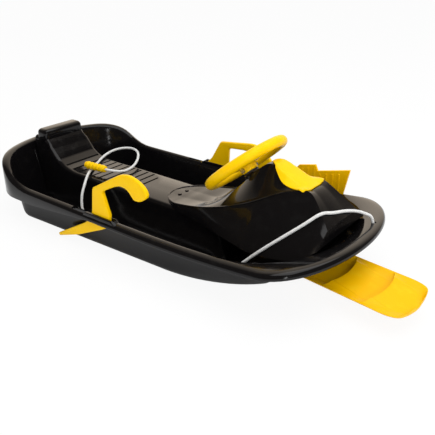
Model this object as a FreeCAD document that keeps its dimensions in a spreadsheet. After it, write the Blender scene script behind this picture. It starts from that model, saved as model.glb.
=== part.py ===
import FreeCAD, Part
import math
import os

doc = FreeCAD.newDocument("steering_sled")

# Driving dimensions, in mm and degrees
SIZES = [
    ("overall_length", 1045.5), ("tub_length", 932), ("tub_width", 410), ("tub_wall", 3.5),
    ("rear_round", 139), ("nose_round", 112), ("skirt_height", 13), ("rear_skirt_height", 83),
    ("skirt_rise_start", 200), ("skirt_rise_end", 400),
    ("rear_sheer", 143), ("waist_sheer", 92), ("nose_sheer", 124),
    ("drop_start", 42), ("drop_end", 194), ("rise_start", 536), ("overlap", 10),
    ("bottom_reach", 29), ("bottom_front_reach", 44), ("bottom_rear", 56), ("bottom_front", 795),
    ("bilge", 10), ("bottom_rear_round", 87), ("bottom_front_round", 245), ("loft_top", 145),
    ("top_reach", 5), ("top_rear", 22), ("top_front", 924),
    ("top_rear_round", 135), ("top_front_round", 112), ("bow_wall", 7),
    ("well_width", 164), ("well_start", 664), ("well_bend", 790), ("well_bend_height", 74),
    ("well_end", 880), ("well_end_height", 91),
    ("hump_width", 124), ("hump_rear", 40), ("hump_hollow_rear", 76), ("hump_end", 620),
    ("hump_foot", 660), ("seat_height", 92), ("backrest_top", 158), ("backrest_station", 84),
    ("seat_bend_station", 124), ("seat_bend_height", 113), ("seat_level_station", 190),
    ("seat_mid_station", 150), ("seat_mid_height", 98.5), ("pad_station", 50), ("pad_depth", 38),
    ("pad_base", 140), ("pad_height", 38), ("pad_width", 118), ("pad_round", 11),
    ("slat_pitch", 22.5), ("slat_groove", 2), ("slat_end", 385),
    ("hood_length", 412), ("hood_half", 124), ("hood_top", 225),
    ("hood_wall", 3), ("seat_gap", 0.3), ("hood_solid", 24),
    ("fairing_wall", 2.5), ("fairing_half", 37), ("peg_radius", 2.5), ("peg_offset", 20),
    ("peg_length", 16), ("nut_radius", 6), ("nut_thickness", 1.2),
    ("screw_radius", 2), ("screw_head_radius", 4.2), ("screw_head_height", 2.6),
    ("screw_length", 11), ("screw_clearance", 0.15), ("tongue_screw_reach", 25),
    ("tongue_screw_offset", 12), ("tongue_seat", 97.2),
    ("wheel_station", 657), ("wheel_height", 206), ("column_lean_angle", 41), ("steer_angle", -8.7),
    ("wheel_radius", 94), ("wheel_tube", 11), ("hub_radius", 17), ("hub_above", 9),
    ("hub_below", 18), ("spoke_width", 26), ("spoke_thickness", 10), ("hub_disc_radius", 34),
    ("column_radius", 9), ("column_above", 6), ("column_length", 221),
    ("running_gap", 0.05), ("bush_wall", 3), ("bush_flange_radius", 16),
    ("bush_flange_height", 2.5), ("upper_bush_start", 19), ("upper_bush_length", 26),
    ("lower_bush_start", 166), ("lower_bush_length", 28), ("boss_radius", 17.5),
    ("upper_boss_length", 27), ("lower_boss_length", 28), ("ring_radius", 13),
    ("ring_thickness", 1.6), ("axial_gap", 0.3), ("washer_radius", 15),
    ("washer_thickness", 2), ("socket_radius", 16), ("bolt_radius", 3),
    ("bolt_head_radius", 5.5), ("bolt_head_height", 4), ("bolt_nut_height", 5), ("bolt_tail", 2),
    ("wheel_bolt_distance", 11), ("ski_bolt_distance", 206),
    ("ski_start", 785), ("ski_length", 260), ("ski_half", 60), ("ski_lift", 33),
    ("ski_height", 46), ("ski_wall", 4), ("ski_step", 13), ("ski_step_radius", 108),
    ("ski_first_step", 903), ("ski_second_step", 983), ("ski_crest_half", 48),
    ("pivot_station", 435), ("pivot_height", 83), ("lever_reach", 11), ("lever_size", 140),
    ("lever_thickness", 9), ("lever_round", 4), ("lever_raised_angle", 22), ("lever_side_gap", 0.6),
    ("slot_rear", 92), ("slot_front", 38), ("pin_radius", 3), ("pin_length", 16.6),
    ("lug_width", 18), ("lug_thickness", 3.4), ("lug_drop", 12),
    ("housing_rear", 52), ("housing_front", 48), ("housing_slope", 12), ("housing_width", 20),
    ("housing_height", 6),
    ("guard_station", 643), ("guard_length", 151), ("guard_height", 66), ("guard_reach", 12),
    ("guard_thickness", 8), ("guard_screw_rear", 680), ("guard_screw_front", 750),
    ("guard_screw_length", 16),
    ("cord_radius", 3), ("cord_hole_station", 907), ("cord_hole_offset", 73),
    ("cord_hole_radius", 4), ("cord_tail", 31), ("cord_rise", 11), ("knot_radius", 8),
    ("toggle_station", 236), ("toggle_offset", -33), ("toggle_height", 109.6),
    ("toggle_turn_angle", 4.5), ("toggle_length", 64), ("toggle_radius", 9.5), ("toggle_core", 8.2),
    ("ridge_length", 7), ("ridge_pitch", 11.4), ("toggle_grip", 15), ("toggle_lead", 14),
]
sheet = doc.addObject("Spreadsheet::Sheet", "Sizes")
for row, (name, value) in enumerate(SIZES, start=1):
    sheet.set("A%d" % row, name)
    sheet.set("B%d" % row, str(value))
    sheet.setAlias("B%d" % row, name)
doc.recompute()


def size(name):
    return float(sheet.get(name))


V = FreeCAD.Vector
HALF = size("overall_length") / 2
TUB_HALF = size("tub_width") / 2
WALL = size("tub_wall")
GAP = size("seat_gap")
LEAN = math.radians(size("column_lean_angle"))
DOWN = V(math.sin(LEAN), 0, -math.cos(LEAN))
WHEEL = V(size("wheel_station") - HALF, 0, size("wheel_height"))
STEER = FreeCAD.Rotation(-DOWN, size("steer_angle"))
ACROSS = STEER.multVec(V(0, 1, 0))
LEVER_OFFSET = TUB_HALF - size("lever_reach")
GUARD_OFFSET = TUB_HALF - size("guard_reach")
hood_lead_share = 0.471
HOOD_START = size("wheel_station") - hood_lead_share * size("hood_length")
COLUMN_TURN = FreeCAD.Rotation(V(0, 1, 0), 180 - size("column_lean_angle"))
nodes = []


def at(station):
    return station - HALF


def on_column(distance):
    return WHEEL + DOWN * distance


# Plan outlines: half an ellipse at each end, straight sides between
def half_ellipse(centre, half, reach):
    across = V(0, -half if reach > 0 else half, 0)
    along = V(reach, 0, 0)
    if half >= abs(reach):
        curve = Part.Ellipse(centre + across, centre + along, centre)
        return Part.ArcOfEllipse(curve, 0, math.pi).toShape()
    curve = Part.Ellipse(centre + along, centre - across, centre)
    return Part.ArcOfEllipse(curve, -math.pi / 2, math.pi / 2).toShape()


def oval(height, rear_half, front_half, rear, front, rear_round, front_round):
    rear_centre = V(at(rear) + rear_round, 0, height)
    front_centre = V(at(front) - front_round, 0, height)
    rear_side = V(0, rear_half, 0)
    front_side = V(0, front_half, 0)
    return Part.Wire([
        half_ellipse(rear_centre, rear_half, -rear_round),
        Part.makeLine(rear_centre - rear_side, front_centre - front_side),
        half_ellipse(front_centre, front_half, front_round),
        Part.makeLine(front_centre + front_side, rear_centre + rear_side),
    ])


def hull_oval(height, inset, end_inset):
    share = height / size("loft_top")

    def mix(low, high):
        return size(low) + (size(high) - size(low)) * share

    return oval(height, TUB_HALF - mix("bottom_reach", "top_reach") - inset,
                TUB_HALF - mix("bottom_front_reach", "top_reach") - inset,
                mix("bottom_rear", "top_rear") + inset,
                mix("bottom_front", "top_front") - end_inset,
                mix("bottom_rear_round", "top_rear_round") - inset,
                mix("bottom_front_round", "top_front_round") - inset)


def prism(points, half):
    wire = Part.makePolygon([V(x, -half, z) for x, z in points] + [V(points[0][0], -half, points[0][1])])
    return Part.Face(wire).extrude(V(0, 2 * half, 0))


def rim_prism(inset):
    half = TUB_HALF - inset
    wire = oval(0, half, half, inset, size("tub_length") - inset,
                size("rear_round") - inset, size("nose_round") - inset)
    return Part.Face(wire).extrude(V(0, 0, size("hood_top")))


# Sheer line of the rim: high at the back, level waist, rising to the nose
def sheer_height(station):
    run = size("tub_length") - size("rise_start")
    rise = size("nose_sheer") - size("waist_sheer")
    radius = (run * run + rise * rise) / (2 * rise)
    past = max(0, station - size("rise_start"))
    return size("waist_sheer") + radius - math.sqrt(radius * radius - past * past)


def sheer_region():
    start = size("drop_start")
    end = size("drop_end")
    drop = size("rear_sheer") - size("waist_sheer")
    half_run = (end - start) / 2
    radius = (half_run * half_run + drop * drop / 4) / drop
    turn = math.asin(half_run / radius) / 2
    dip = radius * (1 - math.cos(turn))
    reach = radius * math.sin(turn)
    middle = V(at(start) + half_run, 0, size("waist_sheer") + drop / 2)
    rear_edge = at(0) - size("overlap")
    nose_station = size("tub_length") + size("overlap")
    rise_middle = (size("rise_start") + nose_station) / 2
    rear = V(at(start), 0, size("rear_sheer"))
    low = V(at(end), 0, size("waist_sheer"))
    rise = V(at(size("rise_start")), 0, size("waist_sheer"))
    nose = V(at(nose_station), 0, sheer_height(nose_station))
    top = size("hood_top") + size("overlap")
    corner = V(rear_edge, 0, size("rear_sheer"))
    edges = [
        Part.makeLine(corner, rear),
        Part.Arc(rear, V(rear.x + reach, 0, rear.z - dip), middle).toShape(),
        Part.Arc(middle, V(low.x - reach, 0, low.z + dip), low).toShape(),
        Part.makeLine(low, rise),
        Part.Arc(rise, V(at(rise_middle), 0, sheer_height(rise_middle)), nose).toShape(),
        Part.makeLine(nose, V(nose.x, 0, top)),
        Part.makeLine(V(nose.x, 0, top), V(rear_edge, 0, top)),
        Part.makeLine(V(rear_edge, 0, top), corner),
    ]
    face = Part.Face(Part.Wire(edges))
    face.translate(V(0, -size("tub_width"), 0))
    return face.extrude(V(0, 2 * size("tub_width"), 0))


# Open well under the bow, where the ski turns
def well(grow):
    low = -size("overlap")
    return prism([(at(size("well_start")), grow), (at(size("well_bend")), size("well_bend_height") + grow),
                  (at(size("well_end")), size("well_end_height") + grow), (at(size("well_end")), low),
                  (at(size("well_start")), low)], size("well_width") / 2 + grow)


# The skirt is deeper behind, where the rim climbs
def skirt_region():
    low = size("waist_sheer") - size("skirt_height")
    high = size("rear_sheer")
    rear_low = high - size("rear_skirt_height")
    rear_edge = at(0) - size("overlap")
    rise_end = at(size("skirt_rise_end"))
    wedge = prism([(rear_edge, rear_low), (at(size("skirt_rise_start")), rear_low), (rise_end, low),
                   (rise_end, high), (rear_edge, high)], size("tub_width"))
    return ABOVE.translated(V(0, 0, -size("skirt_height"))).fuse(wedge).cut(ABOVE)


ABOVE = sheer_region()
CAVITY = Part.makeLoft([hull_oval(WALL, WALL + size("bilge"), size("bow_wall") + size("bilge")),
                        hull_oval(WALL + size("bilge"), WALL, size("bow_wall")),
                        hull_oval(size("loft_top"), WALL, size("bow_wall"))], True, True).cut(well(WALL))


def rod(start, end, radius):
    along = end - start
    return Part.makeCylinder(radius, along.Length, start, along)


# Seat hump: side profile with the backrest, level seat and a slope down under the hood
def hump(inset):
    rear = at(size("hump_hollow_rear") if inset else size("hump_rear"))
    back = V(at(size("backrest_station")) - inset, 0, size("backrest_top") - inset)
    bend = V(at(size("seat_bend_station")) - inset, 0, size("seat_bend_height") - inset)
    middle = V(at(size("seat_mid_station")) - inset / 2, 0, size("seat_mid_height") - inset)
    level = V(at(size("seat_level_station")), 0, size("seat_height") - inset)
    end = V(at(size("hump_end")) - inset, 0, level.z)
    foot = V(at(size("hump_foot")) - inset, 0, -inset)
    heel = V(rear, 0, -inset)
    seat = [
        Part.makeLine(back, bend),
        Part.Arc(bend, middle, level).toShape(),
        Part.makeLine(level, end),
    ]
    rest = Part.makePolygon([end, foot, heel, V(rear, 0, back.z), back]).Edges
    face = Part.Face(Part.Wire(seat + rest))
    half = size("hump_width") / 2 - inset
    face.translate(V(0, -half, 0))
    return face.extrude(V(0, 2 * half, 0)), Part.Wire(seat)


def vertical(station, offset, low, high, radius):
    return Part.makeCylinder(radius, high - low, V(at(station), offset, low))


def lever_slot(side):
    gap = size("lever_side_gap")
    wide = size("lever_thickness") + 2 * gap
    return Part.makeBox(size("slot_rear") + size("slot_front"), wide, size("skirt_height"),
                        V(at(size("pivot_station")) - size("slot_rear"),
                          side * LEVER_OFFSET - wide / 2,
                          size("waist_sheer") - WALL - size("running_gap")))


# Raised housing on the rim around each lever slot
def lever_housing(side):
    rear = at(size("pivot_station")) - size("housing_rear")
    front = at(size("pivot_station")) + size("housing_front")
    low = size("waist_sheer") - WALL
    high = size("waist_sheer") + size("housing_height")
    slope = size("housing_slope")
    housing = prism([(rear, low), (front, low), (front - slope, high), (rear + slope, high)],
                    size("housing_width") / 2)
    return housing.translated(V(0, side * (TUB_HALF - size("housing_width") / 2), 0))


def lever_lugs(side):
    inner = size("lever_thickness") / 2 + size("lever_side_gap")
    low = size("waist_sheer") - WALL - size("lug_drop")
    lugs = []
    for step in (-inner - size("lug_thickness"), inner):
        corner = V(at(size("pivot_station")) - size("lug_width") / 2, side * LEVER_OFFSET + step, low)
        lugs.append(Part.makeBox(size("lug_width"), size("lug_thickness"), size("lug_drop"), corner))
    return lugs


def pin_rod(side, grow):
    middle = side * LEVER_OFFSET
    half = size("pin_length") / 2 + grow
    centre = V(at(size("pivot_station")), middle, size("pivot_height"))
    return rod(centre - V(0, half, 0), centre + V(0, half, 0), size("pin_radius") + grow)


def screw_spots():
    tongue = size("tongue_screw_offset")
    return [(HOOD_START + size("tongue_screw_reach"), side * tongue) for side in (-1, 1)]


def tub_shape():
    bilge = size("bilge")
    hull = Part.makeLoft([hull_oval(0, bilge, bilge), hull_oval(bilge, 0, 0),
                          hull_oval(size("loft_top"), 0, 0)], True, True).cut([ABOVE, well(0)])
    flange_band = ABOVE.translated(V(0, 0, -WALL)).cut(ABOVE)
    flange = rim_prism(0).common(flange_band)
    skirt = rim_prism(0).cut(rim_prism(WALL)).common(skirt_region())
    hump_outer, seat_line = hump(0)
    pad = Part.makeBox(size("pad_depth"), size("pad_width"), size("pad_height"),
                       V(at(size("pad_station")), -size("pad_width") / 2, size("pad_base")))
    raised = hump_outer.fuse(pad.makeFillet(size("pad_round"), pad.Edges))
    keep = raised.cut(hull).cut(CAVITY).cut(ABOVE)
    raised = raised.cut(keep)
    body = hull.fuse([flange, skirt]).cut(CAVITY)
    body = body.fuse([raised, lever_housing(-1), lever_housing(1)] + lever_lugs(-1) + lever_lugs(1))
    axis_top = on_column(size("lower_bush_start") + size("bush_flange_height"))
    axis_low = on_column(size("lower_bush_start") + size("lower_boss_length"))
    body = body.fuse(rod(axis_top, axis_low, size("boss_radius")))
    cuts = [hump(WALL)[0], lever_slot(-1), lever_slot(1),
            pin_rod(-1, size("running_gap")), pin_rod(1, size("running_gap")),
            rod(on_column(size("lower_bush_start")), on_column(size("ski_bolt_distance")),
                size("column_radius") + size("bush_wall"))]
    deep = size("seat_height") - size("screw_length")
    reach = size("screw_radius") + size("screw_clearance")
    for station, offset in screw_spots():
        cuts.append(vertical(station, offset, deep, size("hood_top"), reach))
    for station in (size("guard_screw_rear"), size("guard_screw_front")):
        cuts.append(vertical(station, GUARD_OFFSET, 0, size("loft_top"), reach))
    cuts.append(vertical(size("cord_hole_station"), size("cord_hole_offset"), size("waist_sheer"),
                         size("loft_top"), size("cord_hole_radius")))
    count = int((size("slat_end") - size("backrest_station")) / size("slat_pitch"))
    points = seat_line.discretize(Distance=size("slat_pitch"))[1:count]
    across = V(0, size("hump_width") / 2, 0)
    for point in points:
        if point.x < at(size("slat_end")):
            cuts.append(rod(point - across, point + across, size("slat_groove")))
    return body.cut(cuts).removeSplitter()


# Hood sections: share along the hood, then half width and height shares of base, shoulder and top
hood_section_shares = [
    (0.000, 0.355, 0.411, 0.339, 0.431, 0.161, 0.431),
    (0.143, 0.516, 0.382, 0.490, 0.449, 0.161, 0.440),
    (0.298, 0.565, 0.356, 0.516, 0.498, 0.129, 0.480),
    (0.452, 0.661, 0.333, 0.500, 0.578, 0.113, 0.702),
    (0.571, 0.758, 0.329, 0.484, 0.667, 0.145, 0.924),
    (0.643, 0.831, 0.333, 0.460, 0.733, 0.129, 1.000),
    (0.738, 0.855, 0.347, 0.380, 0.822, 0.170, 0.933),
    (0.833, 0.855, 0.373, 0.290, 0.876, 0.145, 0.867),
    (0.893, 0.831, 0.400, 0.270, 0.845, 0.145, 0.836),
    (1.000, 0.766, 0.462, 0.468, 0.645, 0.194, 0.650),
]


def hood_loft(inset):
    wires = []
    last = len(hood_section_shares) - 1
    for index, (along, base, base_up, side, side_up, top, top_up) in enumerate(hood_section_shares):
        x = at(HOOD_START) + along * size("hood_length")
        if inset and index == 0:
            x += size("hood_solid")
        if inset and index == last:
            x -= inset
        half = size("hood_half")
        high = size("hood_top")
        points = [(base * half - inset, base_up * high - inset * 2),
                  (side * half - inset, side_up * high - inset),
                  (top * half, top_up * high - inset)]
        right = [V(x, -y, z) for y, z in points]
        left = [V(x, y, z) for y, z in reversed(points)]
        wires.append(Part.makePolygon(right + left + [right[0]]))
    return Part.makeLoft(wires, True, True)


HOOD_OUTER = hood_loft(0)


def hood_shape():
    shell = HOOD_OUTER.cut(hood_loft(size("hood_wall")))
    seat = prism([(at(size("hump_rear")), 0), (at(size("hump_foot")) + GAP, 0),
                  (at(size("hump_end")) + GAP, size("seat_height") + GAP / 2),
                  (at(size("hump_rear")), size("seat_height") + GAP / 2)],
                 size("hump_width") / 2 + GAP)
    room = CAVITY.translated(V(0, 0, GAP)).fuse(ABOVE.translated(V(0, 0, GAP)))
    shell = shell.cut(seat).common(room)
    boss_top = on_column(size("upper_bush_start") + size("bush_flange_height"))
    boss_low = boss_top + DOWN * size("upper_boss_length")
    shell = shell.fuse(rod(boss_top, boss_low, size("boss_radius")))
    cuts = [rod(on_column(0), boss_low + DOWN * size("overlap"), size("column_radius") + size("bush_wall"))]
    cuts.append(rod(on_column(0), boss_top, size("bush_flange_radius") + GAP))
    for station, offset in screw_spots():
        cuts.append(vertical(station, offset, 0, size("hood_top"), size("screw_radius") + size("screw_clearance")))
        cuts.append(vertical(station, offset, size("tongue_seat"), size("hood_top"),
                             size("screw_head_radius") + size("screw_clearance")))
    for side in (-1, 1):
        cuts.append(vertical(PEG_STATION, side * size("peg_offset"), size("loft_top"),
                             size("hood_top"), size("peg_radius") + size("running_gap")))
    return shell.cut(cuts)


# Shield on the hood's front: its place on the hood, then outline shares of its length and half width
fairing_start_share = 0.6286
fairing_length_share = 0.2257
peg_share = 0.794
fairing_shares = [(0.0, 0.20), (0.12, 0.40), (0.45, 0.84), (0.70, 0.96), (0.92, 1.0), (1.0, 0.86)]
PEG_STATION = HOOD_START + peg_share * size("hood_length")


def fairing_shape():
    start = HOOD_START + fairing_start_share * size("hood_length")
    length = fairing_length_share * size("hood_length")
    right = [V(at(start) + a * length, -b * size("fairing_half"), 0) for a, b in fairing_shares]
    left = [V(p.x, -p.y, 0) for p in reversed(right)]
    plan = Part.Face(Part.makePolygon(right + left + [right[0]])).extrude(V(0, 0, 2 * size("hood_top")))
    lift = GAP + size("fairing_wall")
    upper = HOOD_OUTER.translated(V(0, 0, lift))
    shield = upper.cut(HOOD_OUTER.translated(V(0, 0, GAP))).common(plan)
    pegs = []
    for side in (-1, 1):
        offset = side * size("peg_offset")
        peg = vertical(PEG_STATION, offset, size("loft_top"), size("hood_top"), size("peg_radius"))
        peg = peg.common(HOOD_OUTER.translated(V(0, 0, lift / 2)))
        low = peg.optimalBoundingBox(False, True).ZMax - size("peg_length")
        pegs.append(peg.common(vertical(PEG_STATION, offset, low, size("hood_top"), size("peg_radius"))))
    return shield.fuse(pegs)


# Ski sections: share along, then half width and height shares of bottom and lip
ski_section_shares = [
    (0.000, 0.46, 0.10, 0.66, 0.90),
    (0.077, 0.67, 0.00, 0.92, 1.00),
    (0.172, 0.74, 0.00, 1.00, 1.00),
    (0.890, 0.74, 0.00, 1.00, 1.00),
    (0.940, 0.68, 0.04, 0.95, 1.00),
    (0.972, 0.57, 0.10, 0.84, 1.00),
    (0.991, 0.36, 0.18, 0.59, 1.00),
    (1.000, 0.16, 0.25, 0.30, 1.00),
]


def ski_loft(inset):
    wires = []
    last = len(ski_section_shares) - 1
    for index, (along, base, base_up, lip, lip_up) in enumerate(ski_section_shares):
        x = at(size("ski_start")) + along * size("ski_length")
        if inset and index == 0:
            x += inset
        if inset and index == last:
            x -= inset
        low = size("ski_lift") + base_up * (size("ski_height") - size("ski_lift")) + inset
        high = size("ski_lift") + lip_up * (size("ski_height") - size("ski_lift"))
        high += size("overlap") if inset else 0
        base_half = base * size("ski_half") - inset
        lip_half = lip * size("ski_half") - inset
        points = [V(x, -lip_half, high), V(x, -base_half, low), V(x, base_half, low), V(x, lip_half, high)]
        wires.append(Part.makePolygon(points + [points[0]]))
    return Part.makeLoft(wires, True, True)


def ski_shape():
    outer = ski_loft(0)
    ski = outer.cut(ski_loft(size("ski_wall")))
    low = size("ski_lift") + size("ski_wall") / 2
    floor = size("ski_lift") + size("ski_wall")
    radius = size("ski_step_radius")
    pads = []
    first = size("ski_first_step")
    second = size("ski_second_step")
    tip = size("ski_start") + size("ski_length")
    for start, end in ((first, second), (second, tip)):
        rear = at(start) - 2 * size("overlap")
        top = floor + size("ski_step")
        wedge = prism([(rear, low), (at(end), low), (at(end), floor), (rear, top)], size("ski_half"))
        behind = Part.makeCylinder(radius, 2 * size("ski_height"), V(at(start) - radius, 0, 0))
        pads.append(wedge.common(outer).cut(behind))
        lip = size("ski_height")
        if top > lip:
            front = rear + (at(end) - rear) * (top - lip) / size("ski_step")
            crest = prism([(rear, floor), (front, floor), (front, lip), (rear, top)], size("ski_crest_half"))
            pads.append(crest.cut(behind))
    socket_top = on_column(size("lower_bush_start") + size("lower_boss_length") + 2 * size("axial_gap")
                           + size("washer_thickness"))
    socket = rod(socket_top, on_column(size("column_length") + size("overlap")), size("socket_radius"))
    under = Part.makeBox(size("ski_length"), 2 * radius, size("ski_height"),
                         V(at(size("ski_start")), -radius, low - size("ski_height")))
    ski = ski.fuse(pads + [socket.cut(under)])
    ski.rotate(WHEEL, -DOWN, size("steer_angle"))
    end = on_column(size("column_length") - size("column_above"))
    hole = rod(socket_top - DOWN * size("overlap"), end, size("column_radius"))
    return ski.cut([hole, cross_rod(size("ski_bolt_distance"), size("bolt_radius"), size("ski_half"))])


def cross_rod(distance, radius, half):
    centre = on_column(distance)
    return rod(centre - ACROSS * half, centre + ACROSS * half, radius)


# Brake lever, raised as the right one stands: shares of its size from the pivot
lever_shares = [
    (0.196, 0.171), (0.175, 0.040), (0.110, -0.060), (0.000, -0.120), (-0.571, -0.381),
    (-1.050, -0.545), (-1.072, -0.500), (-0.400, -0.125), (-0.235, 0.000), (-0.182, 0.140),
    (-0.130, 0.512), (0.469, 0.861), (0.591, 0.887), (0.705, 0.882), (0.850, 0.832),
    (0.957, 0.744), (0.979, 0.680), (0.929, 0.616), (0.807, 0.551), (0.714, 0.556),
    (0.643, 0.635), (0.555, 0.685), (0.434, 0.685), (0.353, 0.656), (0.134, 0.544), (0.081, 0.501),
]


def lever_shape(side, turn):
    pivot = V(at(size("pivot_station")), side * LEVER_OFFSET, size("pivot_height"))
    half = size("lever_thickness") / 2
    reach = size("lever_size")
    points = [V(pivot.x + a * reach, pivot.y - half, pivot.z + b * reach) for a, b in lever_shares]
    wire = Part.makePolygon(points + [points[0]])
    smooth = wire.makeOffset2D(-size("lever_round") / 2).makeOffset2D(size("lever_round") / 2)
    body = Part.Face(smooth).extrude(V(0, 2 * half, 0))
    body.rotate(pivot, V(0, 1, 0), turn)
    hole = rod(pivot - V(0, 2 * half, 0), pivot + V(0, 2 * half, 0), size("pin_radius") + size("running_gap"))
    return body.cut(hole)


# Upright guard on the left rim: shares of its length and height above the waist
guard_shares = [(0.0, -0.05), (0.09, 0.60), (0.18, 0.86), (0.45, 1.0), (0.49, 0.80), (1.0, 1.09),
                (0.92, 0.15), (0.92, -0.05)]


def guard_shape():
    base = size("waist_sheer")
    points = [(at(size("guard_station")) + a * size("guard_length"), base + b * size("guard_height"))
              for a, b in guard_shares]
    plate = prism(points, size("guard_thickness") / 2)
    plate.translate(V(0, GUARD_OFFSET, 0))
    plate = plate.common(ABOVE.translated(V(0, 0, GAP / 2)))
    holes = []
    for station in (size("guard_screw_rear"), size("guard_screw_front")):
        top = sheer_height(station) + size("guard_screw_length")
        holes.append(vertical(station, GUARD_OFFSET, 0, top, size("screw_radius") + size("screw_clearance")))
    return plate.cut(holes)


# Tow cord: up out of the nose hole, over the hood, along the right footwell, loop on the seat, toggle
cord_shares = [
    (0.7001, 0.283, 1.543), (0.6839, 0.224, 1.603), (0.6657, 0.083, 1.696), (0.6523, -0.107, 1.777),
    (0.6389, -0.246, 1.880), (0.5949, -0.324, 1.630), (0.5385, -0.422, 1.348), (0.4601, -0.522, 0.946),
    (0.4017, -0.585, 0.598), (0.3443, -0.600, 0.272), (0.2678, -0.580, 0.100), (0.1894, -0.576, 0.083),
    (0.0956, -0.576, 0.083), (-0.0340, -0.605, 0.082), (-0.1774, -0.566, 0.082), (-0.3290, -0.600, 0.082),
    (-0.4189, -0.605, 0.110), (-0.4648, -0.590, 0.290), (-0.4868, -0.546, 0.707), (-0.5031, -0.429, 1.030),
    (-0.5447, -0.293, 1.098),
    (-0.5925, -0.137, 1.041), (-0.6423, 0.078, 1.043), (-0.6844, 0.293, 1.078), (-0.6805, 0.488, 1.141),
    (-0.6231, 0.590, 1.187), (-0.5543, 0.551, 1.196), (-0.4969, 0.420, 1.163), (-0.4586, 0.273, 1.122),
    (-0.4357, 0.127, 1.100), (-0.4242, -0.029, 1.133),
]


def toggle_point(along):
    turn = math.radians(size("toggle_turn_angle"))
    return V(at(size("toggle_station")) + along * math.cos(turn),
             size("toggle_offset") + along * math.sin(turn), size("toggle_height"))


def cord_points():
    hole = V(at(size("cord_hole_station")), size("cord_hole_offset"), sheer_height(size("cord_hole_station")))
    points = [hole - V(0, 0, size("cord_tail")), hole + V(0, 0, size("cord_rise"))]
    for x, y, z in cord_shares:
        points.append(V(x * HALF, y * TUB_HALF, z * size("seat_height")))
    mouth = size("toggle_length") / 2
    return points + [toggle_point(mouth + size("toggle_lead")), toggle_point(mouth - size("toggle_grip"))]


def cord_shape():
    points = cord_points()
    bend_share = 0.45
    edges = []
    radii = []
    start = points[0]
    for before, corner, after in zip(points, points[1:], points[2:]):
        arrive = corner - before
        leave = after - corner
        reach = bend_share * min(arrive.Length, leave.Length)
        arrive.normalize()
        leave.normalize()
        half_turn = arrive.getAngle(leave) / 2
        radius = reach / math.tan(half_turn)
        radii.append(radius)
        first = corner - arrive * reach
        last = corner + leave * reach
        inward = leave - arrive
        inward.normalize()
        middle = corner + inward * (radius / math.cos(half_turn) - radius)
        edges.append(Part.LineSegment(start, first).toShape())
        edges.append(Part.Arc(first, middle, last).toShape())
        start = last
    edges.append(Part.LineSegment(start, points[-1]).toShape())
    path = Part.Wire(edges)
    ring = Part.Wire(Part.makeCircle(size("cord_radius"), points[0], points[1] - points[0]))
    tube = path.makePipeShell([ring], True, False)
    section = math.pi * size("cord_radius") ** 2
    print("cord length %.1f, tightest bend %.1f, volume share %.4f" % (
        path.Length, min(radii), tube.Volume / (section * path.Length)))
    print("cord bends", " ".join("%.0f" % radius for radius in radii))
    return tube


def feature(label, shape):
    obj = doc.addObject("Part::Feature", label)
    obj.Shape = shape
    obj.Label = label
    nodes.append(obj)
    return obj


def bound(kind, name, sizes, base, turn=FreeCAD.Rotation()):
    obj = doc.addObject(kind, name)
    for key, text in sizes.items():
        obj.setExpression(key, text)
    obj.Placement = FreeCAD.Placement(base, turn)
    return obj


def cylinder(name, radius, height, base, turn=FreeCAD.Rotation()):
    return bound("Part::Cylinder", name, {"Radius": radius, "Height": height}, base, turn)


def joined(label, pieces):
    obj = doc.addObject("Part::MultiFuse", label)
    obj.Shapes = pieces
    obj.Label = label
    return obj


def difference(label, base, tool):
    obj = doc.addObject("Part::Cut", label)
    obj.Base = base
    obj.Tool = tool
    obj.Label = label
    return obj


def group(label, pieces):
    obj = doc.addObject("Part::Compound", label)
    obj.Links = pieces
    obj.Label = label
    nodes.append(obj)
    return obj


def node(obj):
    nodes.append(obj)
    return obj


SIDEWAYS = FreeCAD.Rotation(V(0, 0, 1), V(0, 1, 0))
CROSSWAYS = FreeCAD.Rotation(V(0, 0, 1), ACROSS)

# Moulded pieces
feature("tub_shell", tub_shape())
hood = feature("hood", hood_shape())
feature("hood_fairing", fairing_shape())
feature("steering_ski", ski_shape())
feature("right_brake_lever", lever_shape(-1, 0))
feature("left_brake_lever", lever_shape(1, size("lever_raised_angle")))
feature("left_bow_guard", guard_shape())

# Steering column and its bearings, all on one leaning axis
UP_TURN = FreeCAD.Rotation(V(0, 1, 0), -size("column_lean_angle"))
node(cylinder("steering_column", "Sizes.column_radius", "Sizes.column_length",
              on_column(-size("column_above")), COLUMN_TURN))


def bush(label, start, length):
    tube = cylinder(label + "_tube", "Sizes.column_radius + Sizes.bush_wall", length,
                    on_column(start), COLUMN_TURN)
    flange = cylinder(label + "_flange", "Sizes.bush_flange_radius", "Sizes.bush_flange_height",
                      on_column(start), COLUMN_TURN)
    bore = cylinder(label + "_bore", "Sizes.column_radius + Sizes.running_gap", "Sizes.column_length",
                    on_column(-size("column_above")), COLUMN_TURN)
    node(difference(label, joined(label + "_body", [tube, flange]), bore))


bush("upper_column_bush", size("upper_bush_start"), "Sizes.upper_bush_length")
bush("lower_column_bush", size("lower_bush_start"), "Sizes.lower_bush_length")


def collar(label, start, outer, thickness):
    ring = cylinder(label + "_disc", outer, thickness, on_column(start), COLUMN_TURN)
    bore = cylinder(label + "_hole", "Sizes.column_radius", "Sizes.column_length",
                    on_column(-size("column_above")), COLUMN_TURN)
    node(difference(label, ring, bore))


collar("column_retaining_ring", size("lower_bush_start") - size("axial_gap") - size("ring_thickness"),
       "Sizes.ring_radius", "Sizes.ring_thickness")
collar("column_thrust_washer", size("lower_bush_start") + size("lower_boss_length") + size("axial_gap"),
       "Sizes.washer_radius", "Sizes.washer_thickness")

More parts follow.
